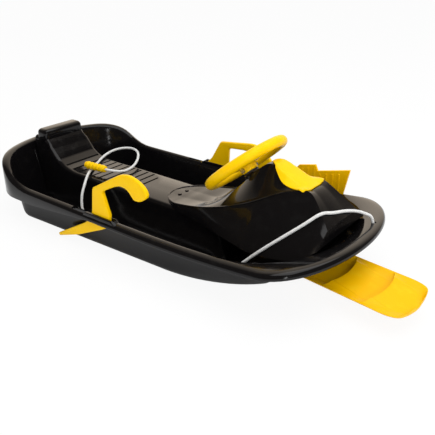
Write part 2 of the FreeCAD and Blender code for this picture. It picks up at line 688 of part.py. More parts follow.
# Steering wheel: ring, three spokes, hub disc and neck
rim = bound("Part::Torus", "wheel_rim", {"Radius1": "Sizes.wheel_radius - Sizes.wheel_tube",
                                         "Radius2": "Sizes.wheel_tube"}, WHEEL, UP_TURN)
neck = cylinder("wheel_neck", "Sizes.hub_radius", "Sizes.hub_above + Sizes.hub_below",
                on_column(size("hub_below")), UP_TURN)
disc = cylinder("wheel_disc", "Sizes.hub_disc_radius", "Sizes.spoke_thickness + Sizes.hub_above / 2",
                on_column(size("spoke_thickness") / 2), UP_TURN)
spokes = []
spoke_angles = (60, 180, 300)
for index, angle in enumerate(spoke_angles, start=1):
    turn = UP_TURN.multiply(FreeCAD.Rotation(V(0, 0, 1), angle + size("steer_angle")))
    corner = turn.multVec(V(0, -size("spoke_width") / 2, -size("spoke_thickness") / 2))
    spokes.append(bound("Part::Box", "wheel_spoke_%d" % index,
                        {"Length": "Sizes.wheel_radius - Sizes.wheel_tube", "Width": "Sizes.spoke_width",
                         "Height": "Sizes.spoke_thickness"}, WHEEL + corner, turn))
wheel_hole = joined("wheel_holes", [
    cylinder("wheel_bore", "Sizes.column_radius", "Sizes.column_length", on_column(-size("column_above")),
             COLUMN_TURN),
    cylinder("wheel_bolt_hole", "Sizes.bolt_radius", "Sizes.hub_radius * 4",
             on_column(size("wheel_bolt_distance")) - ACROSS * (2 * size("hub_radius")), CROSSWAYS),
])
node(difference("steering_wheel", joined("wheel_body", [rim, neck, disc] + spokes), wheel_hole))

# Cross bolts through hub and ski socket, each with its nut on the left side
def cross_bolt(label, nut_label, distance, half, half_text):
    centre = on_column(distance)
    shank = cylinder(label + "_shank", "Sizes.bolt_radius",
                     half_text + " * 2 + Sizes.bolt_nut_height + Sizes.bolt_tail",
                     centre - ACROSS * half, CROSSWAYS)
    head = bound("Part::Prism", label + "_head", {"Circumradius": "Sizes.bolt_head_radius",
                                                  "Height": "Sizes.bolt_head_height"},
                 centre - ACROSS * (half + size("bolt_head_height")), CROSSWAYS)
    node(joined(label, [shank, head]))
    blank = bound("Part::Prism", nut_label + "_blank", {"Circumradius": "Sizes.bolt_head_radius",
                                                        "Height": "Sizes.bolt_nut_height"},
                  centre + ACROSS * half, CROSSWAYS)
    hole = cylinder(nut_label + "_hole", "Sizes.bolt_radius", "Sizes.bolt_nut_height * 3",
                    centre + ACROSS * (half - size("bolt_nut_height")), CROSSWAYS)
    node(difference(nut_label, blank, hole))


cross_bolt("wheel_bolt", "wheel_nut", size("wheel_bolt_distance"), size("hub_radius"), "Sizes.hub_radius")
cross_bolt("ski_bolt", "ski_nut", size("ski_bolt_distance"), size("socket_radius"), "Sizes.socket_radius")

# The bolts also pass through the column
column = nodes.pop([obj.Label for obj in nodes].index("steering_column"))
column.Label = "column_rod"
column_holes = joined("column_holes", [
    cylinder("column_hole_%d" % count, "Sizes.bolt_radius", "Sizes.hub_radius * 4",
             on_column(size(name)) - ACROSS * (2 * size("hub_radius")), CROSSWAYS)
    for count, name in enumerate(("wheel_bolt_distance", "ski_bolt_distance"), start=1)])
node(difference("steering_column", column, column_holes))

# Brake pins
for side, label in ((-1, "right_brake_pin"), (1, "left_brake_pin")):
    start = V(at(size("pivot_station")), side * LEVER_OFFSET - size("pin_length") / 2,
              size("pivot_height"))
    node(cylinder(label, "Sizes.pin_radius", "Sizes.pin_length", start, SIDEWAYS))


# Screws: pan head with a plain shank
def screw(label, spot, direction):
    turn = FreeCAD.Rotation(V(0, 0, 1), direction)
    head = cylinder(label + "_head", "Sizes.screw_head_radius", "Sizes.screw_head_height", spot, turn)
    shank = cylinder(label + "_shank", "Sizes.screw_radius", "Sizes.screw_length", spot,
                     FreeCAD.Rotation(V(0, 0, 1), -direction))
    return joined(label, [head, shank])


group("hood_screws", [screw("hood_screw_%d" % count, V(at(station), offset, size("tongue_seat")), V(0, 0, 1))
                      for count, (station, offset) in enumerate(screw_spots(), start=1)])
guard_spots = [V(at(size(name)), GUARD_OFFSET, sheer_height(size(name)) - WALL - GAP)
               for name in ("guard_screw_rear", "guard_screw_front")]
group("guard_screws", [screw("guard_screw_%d" % count, spot, V(0, 0, -1))
                       for count, spot in enumerate(guard_spots, start=1)])

# Push nuts on the fairing's pegs, against the hood's inner face
push_nuts = []
for count, side in enumerate((-1, 1), start=1):
    offset = side * size("peg_offset")
    above = hood.Shape.common(vertical(PEG_STATION, offset, size("loft_top"), size("hood_top"), size("nut_radius")))
    seat = above.optimalBoundingBox(False, True).ZMin - GAP
    base = V(at(PEG_STATION), offset, seat - size("nut_thickness"))
    washer = cylinder("push_nut_%d_disc" % count, "Sizes.nut_radius", "Sizes.nut_thickness", base)
    hole = cylinder("push_nut_%d_hole" % count, "Sizes.peg_radius", "Sizes.nut_thickness * 3",
                    base - V(0, 0, size("nut_thickness")))
    push_nuts.append(difference("push_nut_%d" % count, washer, hole))
group("fairing_push_nuts", push_nuts)

# Cord, its knot under the nose and the toggle on its end
feature("tow_cord", cord_shape())
hole_top = V(at(size("cord_hole_station")), size("cord_hole_offset"), sheer_height(size("cord_hole_station")))
knot_centre = hole_top - V(0, 0, WALL + size("knot_radius") + GAP)
knot = bound("Part::Sphere", "knot_ball", {"Radius": "Sizes.knot_radius"}, knot_centre)
knot_hole = cylinder("knot_hole", "Sizes.cord_radius + Sizes.running_gap", "Sizes.knot_radius * 4",
                     knot_centre - V(0, 0, 2 * size("knot_radius")))
node(difference("cord_knot", knot, knot_hole))
ALONG = FreeCAD.Rotation(V(0, 0, 1), toggle_point(size("toggle_length")) - toggle_point(0))
grip = [cylinder("toggle_grip_core", "Sizes.toggle_core", "Sizes.toggle_length",
                 toggle_point(-size("toggle_length") / 2), ALONG)]
ridge_places = (-2, -1, 0, 1, 2)
for count, place in enumerate(ridge_places, start=1):
    grip.append(cylinder("toggle_ridge_%d" % count, "Sizes.toggle_radius", "Sizes.ridge_length",
                         toggle_point(place * size("ridge_pitch") - size("ridge_length") / 2), ALONG))
grip_bore = cylinder("toggle_bore", "Sizes.cord_radius + Sizes.running_gap", "Sizes.toggle_length * 2",
                     toggle_point(-size("toggle_length")), ALONG)
node(difference("cord_toggle", joined("toggle_body", grip), grip_bore))

doc.recompute()
os.makedirs("parts", exist_ok=True)
for obj in nodes:
    bad = "Invalid" in obj.State or "Error" in obj.State
    if bad or obj.Shape.isNull() or not obj.Shape.isValid():
        raise RuntimeError("bad shape: " + obj.Label)
    obj.Shape.exportStep("parts/%s.step" % obj.Label)
    box = obj.Shape.optimalBoundingBox(False, True)
    print("%-22s solids %d vol %9.0f  x %7.1f %7.1f  y %7.1f %7.1f  z %6.1f %6.1f" % (
        obj.Label, len(obj.Shape.Solids), obj.Shape.Volume, box.XMin, box.XMax, box.YMin, box.YMax,
        box.ZMin, box.ZMax))
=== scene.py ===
import bmesh
import bpy
import math
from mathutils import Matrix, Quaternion, Vector


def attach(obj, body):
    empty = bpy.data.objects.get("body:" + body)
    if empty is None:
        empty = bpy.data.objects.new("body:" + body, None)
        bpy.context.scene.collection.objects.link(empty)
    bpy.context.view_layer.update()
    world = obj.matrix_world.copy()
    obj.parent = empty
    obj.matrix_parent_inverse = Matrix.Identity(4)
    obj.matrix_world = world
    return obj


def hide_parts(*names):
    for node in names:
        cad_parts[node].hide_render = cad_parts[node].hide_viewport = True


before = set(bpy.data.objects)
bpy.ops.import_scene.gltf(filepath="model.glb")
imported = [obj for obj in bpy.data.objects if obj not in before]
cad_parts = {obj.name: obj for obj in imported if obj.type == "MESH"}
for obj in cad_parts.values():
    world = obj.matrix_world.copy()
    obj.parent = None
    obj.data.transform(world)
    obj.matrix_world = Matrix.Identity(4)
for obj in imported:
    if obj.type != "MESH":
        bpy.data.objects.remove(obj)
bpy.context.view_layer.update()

# Overall sizes in metres; stations are measured forward from the tub's rear end
HALF_LENGTH = 0.52275
TUB_LENGTH = 0.932
RIM_HALF = 0.205
RIM_REAR_ROUND, RIM_FRONT_ROUND = 0.139, 0.112
WALL, BOW_WALL = 0.0035, 0.0070
SKIRT, SKIRT_LOW = 0.013, 0.060
SHEER_REAR, SHEER_WAIST, SHEER_NOSE = 0.143, 0.092, 0.124
DROP_START, DROP_END, RISE_START = 0.042, 0.194, 0.536
SKIRT_RISE_START, SKIRT_RISE_END = 0.200, 0.400
SEAT_HEIGHT, SEAT_END, SEAT_FALL = 0.092, 0.620, 0.040
HUMP_HALF = 0.062
BACKREST_END, BACKREST_INSET = 0.100, 0.004
PAD_REAR, PAD_FRONT, PAD_HALF, PAD_LOW, PAD_HIGH = 0.050, 0.088, 0.059, 0.140, 0.178
CORD_HOLE = Vector((0.38425, 0.073, 0.12006))

# Hull sizes as pairs: at its flat bottom, and at the level of its top
HULL_TOP = 0.145
HULL_REAR, HULL_FRONT = (0.056, 0.022), (0.795, 0.924)
HULL_REAR_HALF, HULL_FRONT_HALF = (0.176, 0.200), (0.161, 0.200)
HULL_REAR_ROUND, HULL_FRONT_ROUND = (0.087, 0.135), (0.245, 0.112)

# The steering axis leans back from the ski to the wheel, and both are turned a little to the right
WHEEL = Vector((0.13425, 0, 0.206))
LEAN = math.radians(41)
COLUMN_DOWN = Vector((math.sin(LEAN), 0, -math.cos(LEAN)))
STEER = Quaternion(-COLUMN_DOWN, math.radians(-8.7))
WHEEL_TURN = STEER @ Quaternion((0, 1, 0), -LEAN)
ACROSS = STEER @ Vector((0, 1, 0))

# Bores and bosses round the column, and the bore for every pin and bolt
BUSH_BORE = 0.0121
BOSS_RADIUS = 0.0175
PIN_BORE = 0.00305

# Brake lever pivots, the angle between the right lever and the left one, slots and lugs
PIVOT = Vector((-0.08775, 0, 0.083))
LEVER_SIDE = 0.194
LEVER_HALF = 0.0045
LEVER_RAISED = math.radians(22)
SLOT_HALF, SLOT_BACK, SLOT_FORTH, SLOT_LOW, SLOT_HIGH = 0.0051, 0.092, 0.038, 0.0835, 0.110
LUG_THICK, LUG_HALF, LUG_LOW, LUG_HIGH = 0.0034, 0.009, 0.0765, 0.0890


def at(station):
    return station - HALF_LENGTH


def on_column(distance):
    return WHEEL + COLUMN_DOWN * distance


def mix(low, high, share):
    return low + (high - low) * share


# Modelling helpers
def deselect():
    if bpy.context.mode != "OBJECT":
        bpy.ops.object.mode_set(mode="OBJECT")
    bpy.ops.object.select_all(action="DESELECT")


def pick(piece):
    deselect()
    piece.select_set(True)
    bpy.context.view_layer.objects.active = piece


def finish_modifier(piece, kind, **settings):
    pick(piece)
    modifier = piece.modifiers.new(kind.lower(), kind)
    for key, value in settings.items():
        setattr(modifier, key, value)
    bpy.ops.object.modifier_apply(modifier=modifier.name)


def smooth(piece, angle):
    pick(piece)
    bpy.ops.object.shade_smooth_by_angle(angle=math.radians(angle))


def join(piece, others):
    deselect()
    for other in others:
        other.select_set(True)
    piece.select_set(True)
    bpy.context.view_layer.objects.active = piece
    bpy.ops.object.join()


def cut(piece, tools, operation="DIFFERENCE"):
    for tool in tools:
        finish_modifier(piece, "BOOLEAN", operation=operation, object=tool, solver="EXACT")
        bpy.data.objects.remove(tool, do_unlink=True)


# Rings of points, each extruded from the one before and then shaped
def lofted(name, rings, capped=True):
    count = len(rings[0])
    deselect()
    bpy.ops.mesh.primitive_circle_add(vertices=count, fill_type="NOTHING")
    piece = bpy.context.object
    piece.name = name
    bpy.ops.object.mode_set(mode="EDIT")
    mesh = bmesh.from_edit_mesh(piece.data)
    mesh.verts.ensure_lookup_table()
    for vert, place in zip(mesh.verts, rings[0]):
        vert.co = place
    if capped:
        bpy.ops.mesh.edge_face_add()
    bpy.ops.mesh.select_mode(type="EDGE")
    for step, ring in enumerate(rings[1:], start=1):
        bpy.ops.mesh.select_all(action="DESELECT")
        mesh = bmesh.from_edit_mesh(piece.data)
        first = (step - 1) * count
        for edge in mesh.edges:
            if all(first <= vert.index < first + count for vert in edge.verts):
                edge.select_set(True)
        bpy.ops.mesh.extrude_edges_move()
        mesh = bmesh.from_edit_mesh(piece.data)
        mesh.verts.ensure_lookup_table()
        for vert in mesh.verts[step * count:]:
            for edge in vert.link_edges:
                before = edge.other_vert(vert)
                if first <= before.index < first + count:
                    vert.co = ring[before.index - first]
    if capped:
        bpy.ops.mesh.edge_face_add()
    bpy.ops.mesh.select_all(action="SELECT")
    bpy.ops.mesh.normals_make_consistent(inside=False)
    bpy.ops.object.mode_set(mode="OBJECT")
    return piece


# Points that coincide become one, as where a loft closes on its first ring
def weld(piece):
    pick(piece)
    bpy.ops.object.mode_set(mode="EDIT")
    bpy.ops.mesh.select_all(action="SELECT")
    bpy.ops.mesh.remove_doubles(threshold=0.00001)
    bpy.ops.mesh.normals_make_consistent(inside=False)
    bpy.ops.object.mode_set(mode="OBJECT")


def block(name, low, high, bevel=0):
    deselect()
    centre = (Vector(low) + Vector(high)) / 2
    bpy.ops.mesh.primitive_cube_add(size=1, location=centre)
    piece = bpy.context.object
    piece.name = name
    piece.scale = Vector(high) - Vector(low)
    bpy.ops.object.transform_apply(location=True, rotation=True, scale=True)
    if bevel:
        finish_modifier(piece, "BEVEL", width=bevel, segments=3)
    return piece


def rod(name, start, end, radius, vertices=48):
    deselect()
    along = Vector(end) - Vector(start)
    bpy.ops.mesh.primitive_cylinder_add(vertices=vertices, radius=radius, depth=along.length,
                                        location=(Vector(start) + Vector(end)) / 2)
    piece = bpy.context.object
    piece.name = name
    piece.rotation_mode = "QUATERNION"
    piece.rotation_quaternion = along.to_track_quat("Z", "Y")
    bpy.ops.object.transform_apply(location=True, rotation=True, scale=True)
    return piece


# A flat outline in the XZ plane, filled, extruded across and rounded on its edges
def plate(name, outline, low, high, round_width, segments=4):
    piece = lofted(name, [[Vector((x, low, z)) for x, z in outline],
                          [Vector((x, high, z)) for x, z in outline]])
    finish_modifier(piece, "BEVEL", width=round_width, segments=segments, limit_method="ANGLE",
                    angle_limit=math.radians(40))
    return piece


# Smooth curve through listed points
def through(points, steps):
    made = []
    for index in range(len(points) - 1):
        a = points[max(index - 1, 0)]
        b, c = points[index], points[index + 1]
        d = points[min(index + 2, len(points) - 1)]
        for step in range(steps):
            t = step / steps
            made.append(tuple(0.5 * (2 * q + (r - p) * t + (2 * p - 5 * q + 4 * r - s) * t * t
                                     + (3 * q - p - 3 * r + s) * t ** 3)
                              for p, q, r, s in zip(a, b, c, d)))
    made.append(tuple(points[-1]))
    return made


# Angles of evenly spaced points round a circle
def full_turn(count):
    return [2 * math.pi * step / count for step in range(count)]


# Both sides of a half section, from its right end over the middle to its left end
def both_sides(half):
    return [(-y, z) for y, z in half] + [(y, z) for y, z in reversed(half[:-1])]


# Closed section of a shell: along its outer face and back along its inner face
def shell_section(outer, inner):
    return both_sides(outer) + both_sides(inner)[::-1]


# Material effects shared by several finishes
def new_group(name, inputs, outputs):
    group = bpy.data.node_groups.new(name, "ShaderNodeTree")
    for label, value in inputs:
        socket = group.interface.new_socket(label, in_out="INPUT", socket_type="NodeSocketFloat")
        socket.default_value = value
    for label, kind in outputs:
        group.interface.new_socket(label, in_out="OUTPUT", socket_type=kind)
    start = group.nodes.new("NodeGroupInput")
    end = group.nodes.new("NodeGroupOutput")
    return group, start, end


def new_material(name):
    material = bpy.data.materials.new(name)
    material.use_nodes = True
    tree = material.node_tree
    return material, tree, tree.nodes["Principled BSDF"]


def blended(tree, factor, first, second):
    node = tree.nodes.new("ShaderNodeMix")
    node.data_type = "RGBA"
    node.inputs["A"].default_value = (*first, 1)
    node.inputs["B"].default_value = (*second, 1)
    tree.links.new(factor, node.inputs["Factor"])
    return node.outputs["Result"]


def bumped(tree, height, strength, distance, invert=False):
    node = tree.nodes.new("ShaderNodeBump")
    node.inputs["Strength"].default_value = strength
    node.inputs["Distance"].default_value = distance
    node.invert = invert
    tree.links.new(height, node.inputs["Height"])
    return node.outputs["Normal"]


def noise(tree, vector, scale, detail):
    node = tree.nodes.new("ShaderNodeTexNoise")
    node.inputs["Detail"].default_value = detail
    if isinstance(scale, (int, float)):
        node.inputs["Scale"].default_value = scale
    else:
        tree.links.new(scale, node.inputs["Scale"])
    tree.links.new(vector, node.inputs["Vector"])
    return node.outputs["Fac"]


def ranged(tree, value, low, high, new_low, new_high):
    node = tree.nodes.new("ShaderNodeMapRange")
    node.inputs["From Min"].default_value = low
    node.inputs["From Max"].default_value = high
    node.inputs["To Min"].default_value = new_low
    node.inputs["To Max"].default_value = new_high
    tree.links.new(value, node.inputs["Value"])
    return node.outputs["Result"]


# Fine moulding grain with slow waves and a few scuffs
def mould_grain():
    group, start, end = new_group("mould_grain", [("Grain Scale", 900.0), ("Wave Scale", 14.0)],
                                  [("Height", "NodeSocketFloat"), ("Scuff", "NodeSocketFloat")])
    where = group.nodes.new("ShaderNodeTexCoord").outputs["Object"]
    fine = noise(group, where, start.outputs["Grain Scale"], 2.0)
    slow = noise(group, where, start.outputs["Wave Scale"], 2.0)
    add = group.nodes.new("ShaderNodeMath")
    add.operation = "MULTIPLY_ADD"
    add.inputs[1].default_value = 0.12
    group.links.new(fine, add.inputs[0])
    group.links.new(slow, add.inputs[2])
    scratches = noise(group, where, 55.0, 6.0)
    group.links.new(add.outputs[0], end.inputs["Height"])
    group.links.new(ranged(group, scratches, 0.52, 0.72, 0.0, 1.0), end.inputs["Scuff"])
    return group


GRAIN = mould_grain()


def plastic(name, colour, pale, roughness, rough_scuffed, bump, shine):
    material, tree, shader = new_material(name)
    shader.inputs["Specular IOR Level"].default_value = shine
    grain = tree.nodes.new("ShaderNodeGroup")
    grain.node_tree = GRAIN
    scuff = grain.outputs["Scuff"]
    tree.links.new(blended(tree, scuff, colour, pale), shader.inputs["Base Color"])
    tree.links.new(ranged(tree, scuff, 0, 1, roughness, rough_scuffed), shader.inputs["Roughness"])
    tree.links.new(bumped(tree, grain.outputs["Height"], bump, 0.002), shader.inputs["Normal"])
    return material


def zinc(name, colour, roughness):
    material, tree, shader = new_material(name)
    shader.inputs["Metallic"].default_value = 1.0
    where = tree.nodes.new("ShaderNodeTexCoord").outputs["Object"]
    spots = noise(tree, where, 420.0, 4.0)
    darker = [0.72 * part for part in colour]
    tree.links.new(blended(tree, spots, colour, darker), shader.inputs["Base Color"])
    tree.links.new(ranged(tree, spots, 0.3, 0.7, roughness, roughness + 0.18), shader.inputs["Roughness"])
    return material


# Braid of the cord: small raised strands, with painted shade darkening the gaps between them
def braid(name, colour, shade):
    material, tree, shader = new_material(name)
    shader.inputs["Roughness"].default_value = 0.75
    shader.inputs["Sheen Weight"].default_value = 0.2
    where = tree.nodes.new("ShaderNodeTexCoord").outputs["Object"]
    weave = tree.nodes.new("ShaderNodeTexVoronoi")
    weave.inputs["Scale"].default_value = 700.0
    tree.links.new(where, weave.inputs["Vector"])
    depth = weave.outputs["Distance"]
    gap_shade_mask = ranged(tree, depth, 0.2, 0.8, 0.0, 1.0)
    # Painted shade: the cord's colour turns to the darker shade colour in the gaps between strands
    tree.links.new(blended(tree, gap_shade_mask, colour, shade), shader.inputs["Base Color"])
    tree.links.new(bumped(tree, depth, 0.5, 0.0006, True), shader.inputs["Normal"])
    return material


BLACK = plastic("black_moulded", (0.0040, 0.0036, 0.0040), (0.006, 0.0056, 0.0058), 0.12, 0.20, 0.03, 0.25)
YELLOW = plastic("yellow_moulded", (0.94, 0.56, 0.0), (0.94, 0.60, 0.004), 0.34, 0.46, 0.05, 0.10)
# Painted shade: a darker, more orange copy of the yellow plastic, standing in for shading on the ski and
# the guard
SHADED_YELLOW = plastic("shaded_yellow_moulded", (0.93, 0.50, 0.0), (0.93, 0.54, 0.004), 0.34, 0.46, 0.05, 0.10)
BUSH = plastic("bush_moulded", (0.02, 0.02, 0.022), (0.05, 0.05, 0.05), 0.5, 0.65, 0.1, 0.4)
ZINC = zinc("zinc_plated", (0.66, 0.67, 0.69), 0.28)
CORD_WHITE = braid("white_braid", (0.86, 0.86, 0.84), (0.55, 0.55, 0.54))


def dress(piece, material, slot, body, *nodes):
    piece.data.materials.clear()
    piece.data.materials.append(material)
    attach(piece, body)
    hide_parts(*nodes)


# Tub outline: half an ellipse at the rear and at the nose, straight sides between
END_STEPS, SIDE_STEPS = 40, 32
SAMPLES = ([("rear", math.pi * (0.5 - step / END_STEPS)) for step in range(END_STEPS)]
           + [("right", step / SIDE_STEPS) for step in range(SIDE_STEPS)]
           + [("nose", math.pi * (step / END_STEPS - 0.5)) for step in range(END_STEPS)]
           + [("left", step / SIDE_STEPS) for step in range(SIDE_STEPS)])


def oval_point(sample, rear_half, front_half, rear, front, rear_round, front_round):
    kind, share = sample
    rear_x, front_x = at(rear) + rear_round, at(front) - front_round
    if kind == "rear":
        return rear_x - rear_round * math.cos(share), rear_half * math.sin(share)
    if kind == "nose":
        return front_x + front_round * math.cos(share), front_half * math.sin(share)
    if kind == "right":
        return mix(rear_x, front_x, share), -mix(rear_half, front_half, share)
    return mix(front_x, rear_x, share), mix(front_half, rear_half, share)


def sheer(x):
    station = x + HALF_LENGTH
    drop = SHEER_REAR - SHEER_WAIST
    half_run = (DROP_END - DROP_START) / 2
    bend = (half_run ** 2 + drop ** 2 / 4) / drop
    if station <= DROP_START:
        return SHEER_REAR
    if station <= DROP_START + half_run:
        return SHEER_REAR - bend + math.sqrt(bend ** 2 - (station - DROP_START) ** 2)
    if station <= DROP_END:
        return SHEER_WAIST + bend - math.sqrt(bend ** 2 - (DROP_END - station) ** 2)
    if station <= RISE_START:
        return SHEER_WAIST
    rise = SHEER_NOSE - SHEER_WAIST
    sweep = ((TUB_LENGTH - RISE_START) ** 2 + rise ** 2) / (2 * rise)
    return SHEER_WAIST + sweep - math.sqrt(sweep ** 2 - (station - RISE_START) ** 2)


# Hull: narrow flat bottom, wider top, sloped bow
def hull_point(sample, height, inset, end_inset):
    share = height / HULL_TOP
    return oval_point(sample, mix(*HULL_REAR_HALF, share) - inset, mix(*HULL_FRONT_HALF, share) - inset,
                      mix(*HULL_REAR, share) + inset, mix(*HULL_FRONT, share) - end_inset,
                      mix(*HULL_REAR_ROUND, share) - inset, mix(*HULL_FRONT_ROUND, share) - inset)


def hull_ring(inset, end_inset, level=None, below_sheer=None, climb=None):
    ring = []
    for sample in SAMPLES:
        # A point's height depends on its own place, so a few rounds find it
        height = SHEER_WAIST if level is None else level
        for _ in range(4):
            x, y = hull_point(sample, height, inset, end_inset)
            if below_sheer is not None:
                height = sheer(x) - below_sheer
            if climb is not None:
                height = mix(climb[0], sheer(x) - climb[1], climb[2])
        ring.append(Vector((x, y, height)))
    return ring


# Lower edge of the skirt, which hangs deeper behind
def skirt_low(x):
    station = x + HALF_LENGTH
    if station >= SKIRT_RISE_END:
        return sheer(x) - SKIRT
    share = (station - SKIRT_RISE_START) / (SKIRT_RISE_END - SKIRT_RISE_START)
    return mix(SKIRT_LOW, SHEER_WAIST - SKIRT, max(0, share))


def rim_ring(inset, lift, level=sheer):
    ring = []
    for sample in SAMPLES:
        x, y = oval_point(sample, RIM_HALF - inset, RIM_HALF - inset, inset, TUB_LENGTH - inset,
                          RIM_REAR_ROUND - inset, RIM_FRONT_ROUND - inset)
        ring.append(Vector((x, y, level(x) + lift)))
    return ring


def between(first, second, share, lift=0.0):
    return [a.lerp(b, share) + Vector((0, 0, lift)) for a, b in zip(first, second)]


def tub_rings():
    lip = hull_ring(0.0000, 0.0020, below_sheer=0.0006)
    roll = rim_ring(0.0100, 0.0)
    rings = [
        hull_ring(0.0135, 0.0170, level=0.0035),
        hull_ring(0.0095, 0.0130, level=0.0042),
        hull_ring(0.0055, 0.0090, level=0.0080),
        hull_ring(0.0038, 0.0074, level=0.0140),
        hull_ring(WALL, BOW_WALL, climb=(0.014, 0.009, 0.33)),
        hull_ring(WALL, BOW_WALL, climb=(0.014, 0.009, 0.66)),
        hull_ring(WALL, BOW_WALL, below_sheer=0.0090),
        hull_ring(0.0028, 0.0058, below_sheer=0.0040),
        hull_ring(0.0016, 0.0040, below_sheer=0.0015),
        lip,
        between(lip, roll, 0.25, 0.0008),
        between(lip, roll, 0.55, 0.0012),
        between(lip, roll, 0.80, 0.0009),
        rim_ring(0.0085, 0.0),
        rim_ring(0.0050, -0.0018),
        rim_ring(0.0024, -0.0042),
        rim_ring(0.0008, -0.0072),
        rim_ring(0.0002, -0.0100),
        rim_ring(0.0000, 0.0012, skirt_low),
        rim_ring(0.0006, 0.0, skirt_low),
        rim_ring(0.0028, 0.0, skirt_low),
        rim_ring(0.0035, 0.0012, skirt_low),
        rim_ring(0.0038, -0.0095),
        rim_ring(0.0048, -0.0070),
        rim_ring(0.0080, -0.0048),
    ]
    under = hull_ring(-0.0050, -0.0060, below_sheer=0.0040)
    rings += [
        between(rings[-1], under, 0.6),
        under,
        hull_ring(-0.0012, -0.0015, below_sheer=0.0065),
        hull_ring(0.0, 0.0, below_sheer=0.0110),
        hull_ring(0.0, 0.0, climb=(0.014, 0.011, 0.66)),
        hull_ring(0.0, 0.0, climb=(0.014, 0.011, 0.33)),
        hull_ring(0.0, 0.0, level=0.0140),
        hull_ring(0.0010, 0.0014, level=0.0070),
        hull_ring(0.0034, 0.0046, level=0.0026),
        hull_ring(0.0066, 0.0080, level=0.0006),
        hull_ring(0.0105, 0.0115, level=0.0),
    ]
    return rings


# Seat hump: the height of the seat and backrest along the sled
SEAT_LINE = through([(0.084, 0.158), (0.104, 0.1355), (0.124, 0.113), (0.137, 0.1045), (0.150, 0.0985),
                     (0.170, 0.0940), (0.190, SEAT_HEIGHT), (0.240, SEAT_HEIGHT),
                     (SEAT_END, SEAT_HEIGHT)], 8)


def seat_height(station):
    if station <= SEAT_LINE[0][0]:
        return SEAT_LINE[0][1]
    for (a, low), (b, high) in zip(SEAT_LINE, SEAT_LINE[1:]):
        if a <= station <= b and b > a:
            return mix(low, high, (station - a) / (b - a))
    return mix(SEAT_HEIGHT, 0.0, min(1, (station - SEAT_END) / SEAT_FALL))


SLAT_DEPTH = 0.0030
SLATS = [0.104 + 0.0225 * step for step in range(13)]
PANEL_HALF = 0.052
PANEL_END = 0.392


def hump_stations():
    places = [(0.0405, 0), (0.060, 0), (0.080, 0), (0.084, 0), (0.092, 0)]
    for slat in SLATS:
        places += [(slat - 0.0034, 0), (slat - 0.0022, 1), (slat + 0.0016, 1), (slat + 0.0024, 0),
                   (slat + 0.0110, 0)]
    places += [(0.400, 0), (0.440, 0), (0.520, 0), (0.610, 0), (0.622, 0), (0.640, 0), (0.6585, 0)]
    return sorted(places)


def hump_ring(station, groove):
    x = at(station)
    top = max(seat_height(station), 0.006)
    deep = SLAT_DEPTH * groove
    narrow = HUMP_HALF - (BACKREST_INSET if station < BACKREST_END else 0.0)
    panel = PANEL_HALF
    if station > PANEL_END - PANEL_HALF:
        panel = math.sqrt(max(PANEL_HALF ** 2 - (station - PANEL_END + PANEL_HALF) ** 2, 0.0001))
    side = min(1.0, top / 0.05)
    outer = [(narrow + 0.008, 0.0034), (narrow + 0.0045, 0.012 * side), (narrow + 0.0016, 0.040 * side),
             (narrow, 0.048 * side), (narrow, top - 0.010 * side), (narrow - 0.0012, top - 0.0045 * side),
             (narrow - 0.0040, top - 0.0012 * side), (narrow - 0.0075, top),
             (panel, top), (panel - 0.0012, top - deep), (panel * 0.5, top - deep), (0, top - deep)]
    inner = [(max(y - WALL, 0), max(z - WALL, 0.0002)) for y, z in outer]

    # Its rear end stops inside the tub's sloped rear wall
    def placed(y, z):
        share = z / HULL_TOP
        bend = mix(*HULL_REAR_ROUND, share) * (1 - math.sqrt(1 - (y / mix(*HULL_REAR_HALF, share)) ** 2))
        rounding = 0.0105 * max(0, 1 - z / 0.014) ** 2
        return Vector((max(x, at(mix(*HULL_REAR, share) + 0.0022) + bend + rounding), y, z))

    return [placed(y, z) for y, z in shell_section(outer, inner)]


# Open well under the bow, where the ski turns
WELL_LINE = [(0.664, 0.0), (0.790, 0.074), (0.880, 0.091)]
WELL_HALF = 0.082


def well(name, grow):
    outline = [(at(station), height + grow) for station, height in WELL_LINE]
    outline += [(at(WELL_LINE[-1][0]), -0.01), (at(WELL_LINE[0][0]), -0.01)]
    half = WELL_HALF + grow
    return lofted(name, [[Vector((x, y, z)) for x, z in outline] for y in (-half, half)])


def make_well_cover():
    cover = well("well_cover", WALL)
    cut(cover, [well("well_room", 0.0), rod("well_hole", on_column(0.150), on_column(0.230), 0.0145)])
    edge = ((0.0109, 0.0119, 0.0002), (0.0070, 0.0084, 0.0008), (0.0038, 0.0050, 0.0028),
            (0.0014, 0.0018, 0.0072), (0.0004, 0.0004, 0.0140), (0.0004, 0.0004, 0.1))
    hull = lofted("hull", [hull_ring(inset, end_inset, level=height) for inset, end_inset, height in edge])
    cut(cover, [hull], "INTERSECT")
    return cover


# Slot in the rim for a brake lever, and the raised housing round it
def lever_slot(y):
    return block("slot", (PIVOT.x - SLOT_BACK, y - SLOT_HALF, SLOT_LOW),
                 (PIVOT.x + SLOT_FORTH, y + SLOT_HALF, SLOT_HIGH))


def make_housing(side):
    outline = [(PIVOT.x - 0.052, 0.0890), (PIVOT.x + 0.048, 0.0890), (PIVOT.x + 0.036, 0.0980),
               (PIVOT.x - 0.040, 0.0980)]
    low, high = sorted((side * 0.1865, side * 0.2045))
    housing = plate("housing", outline, low, high, 0.0025)
    cut(housing, [lever_slot(side * LEVER_SIDE)])
    return housing


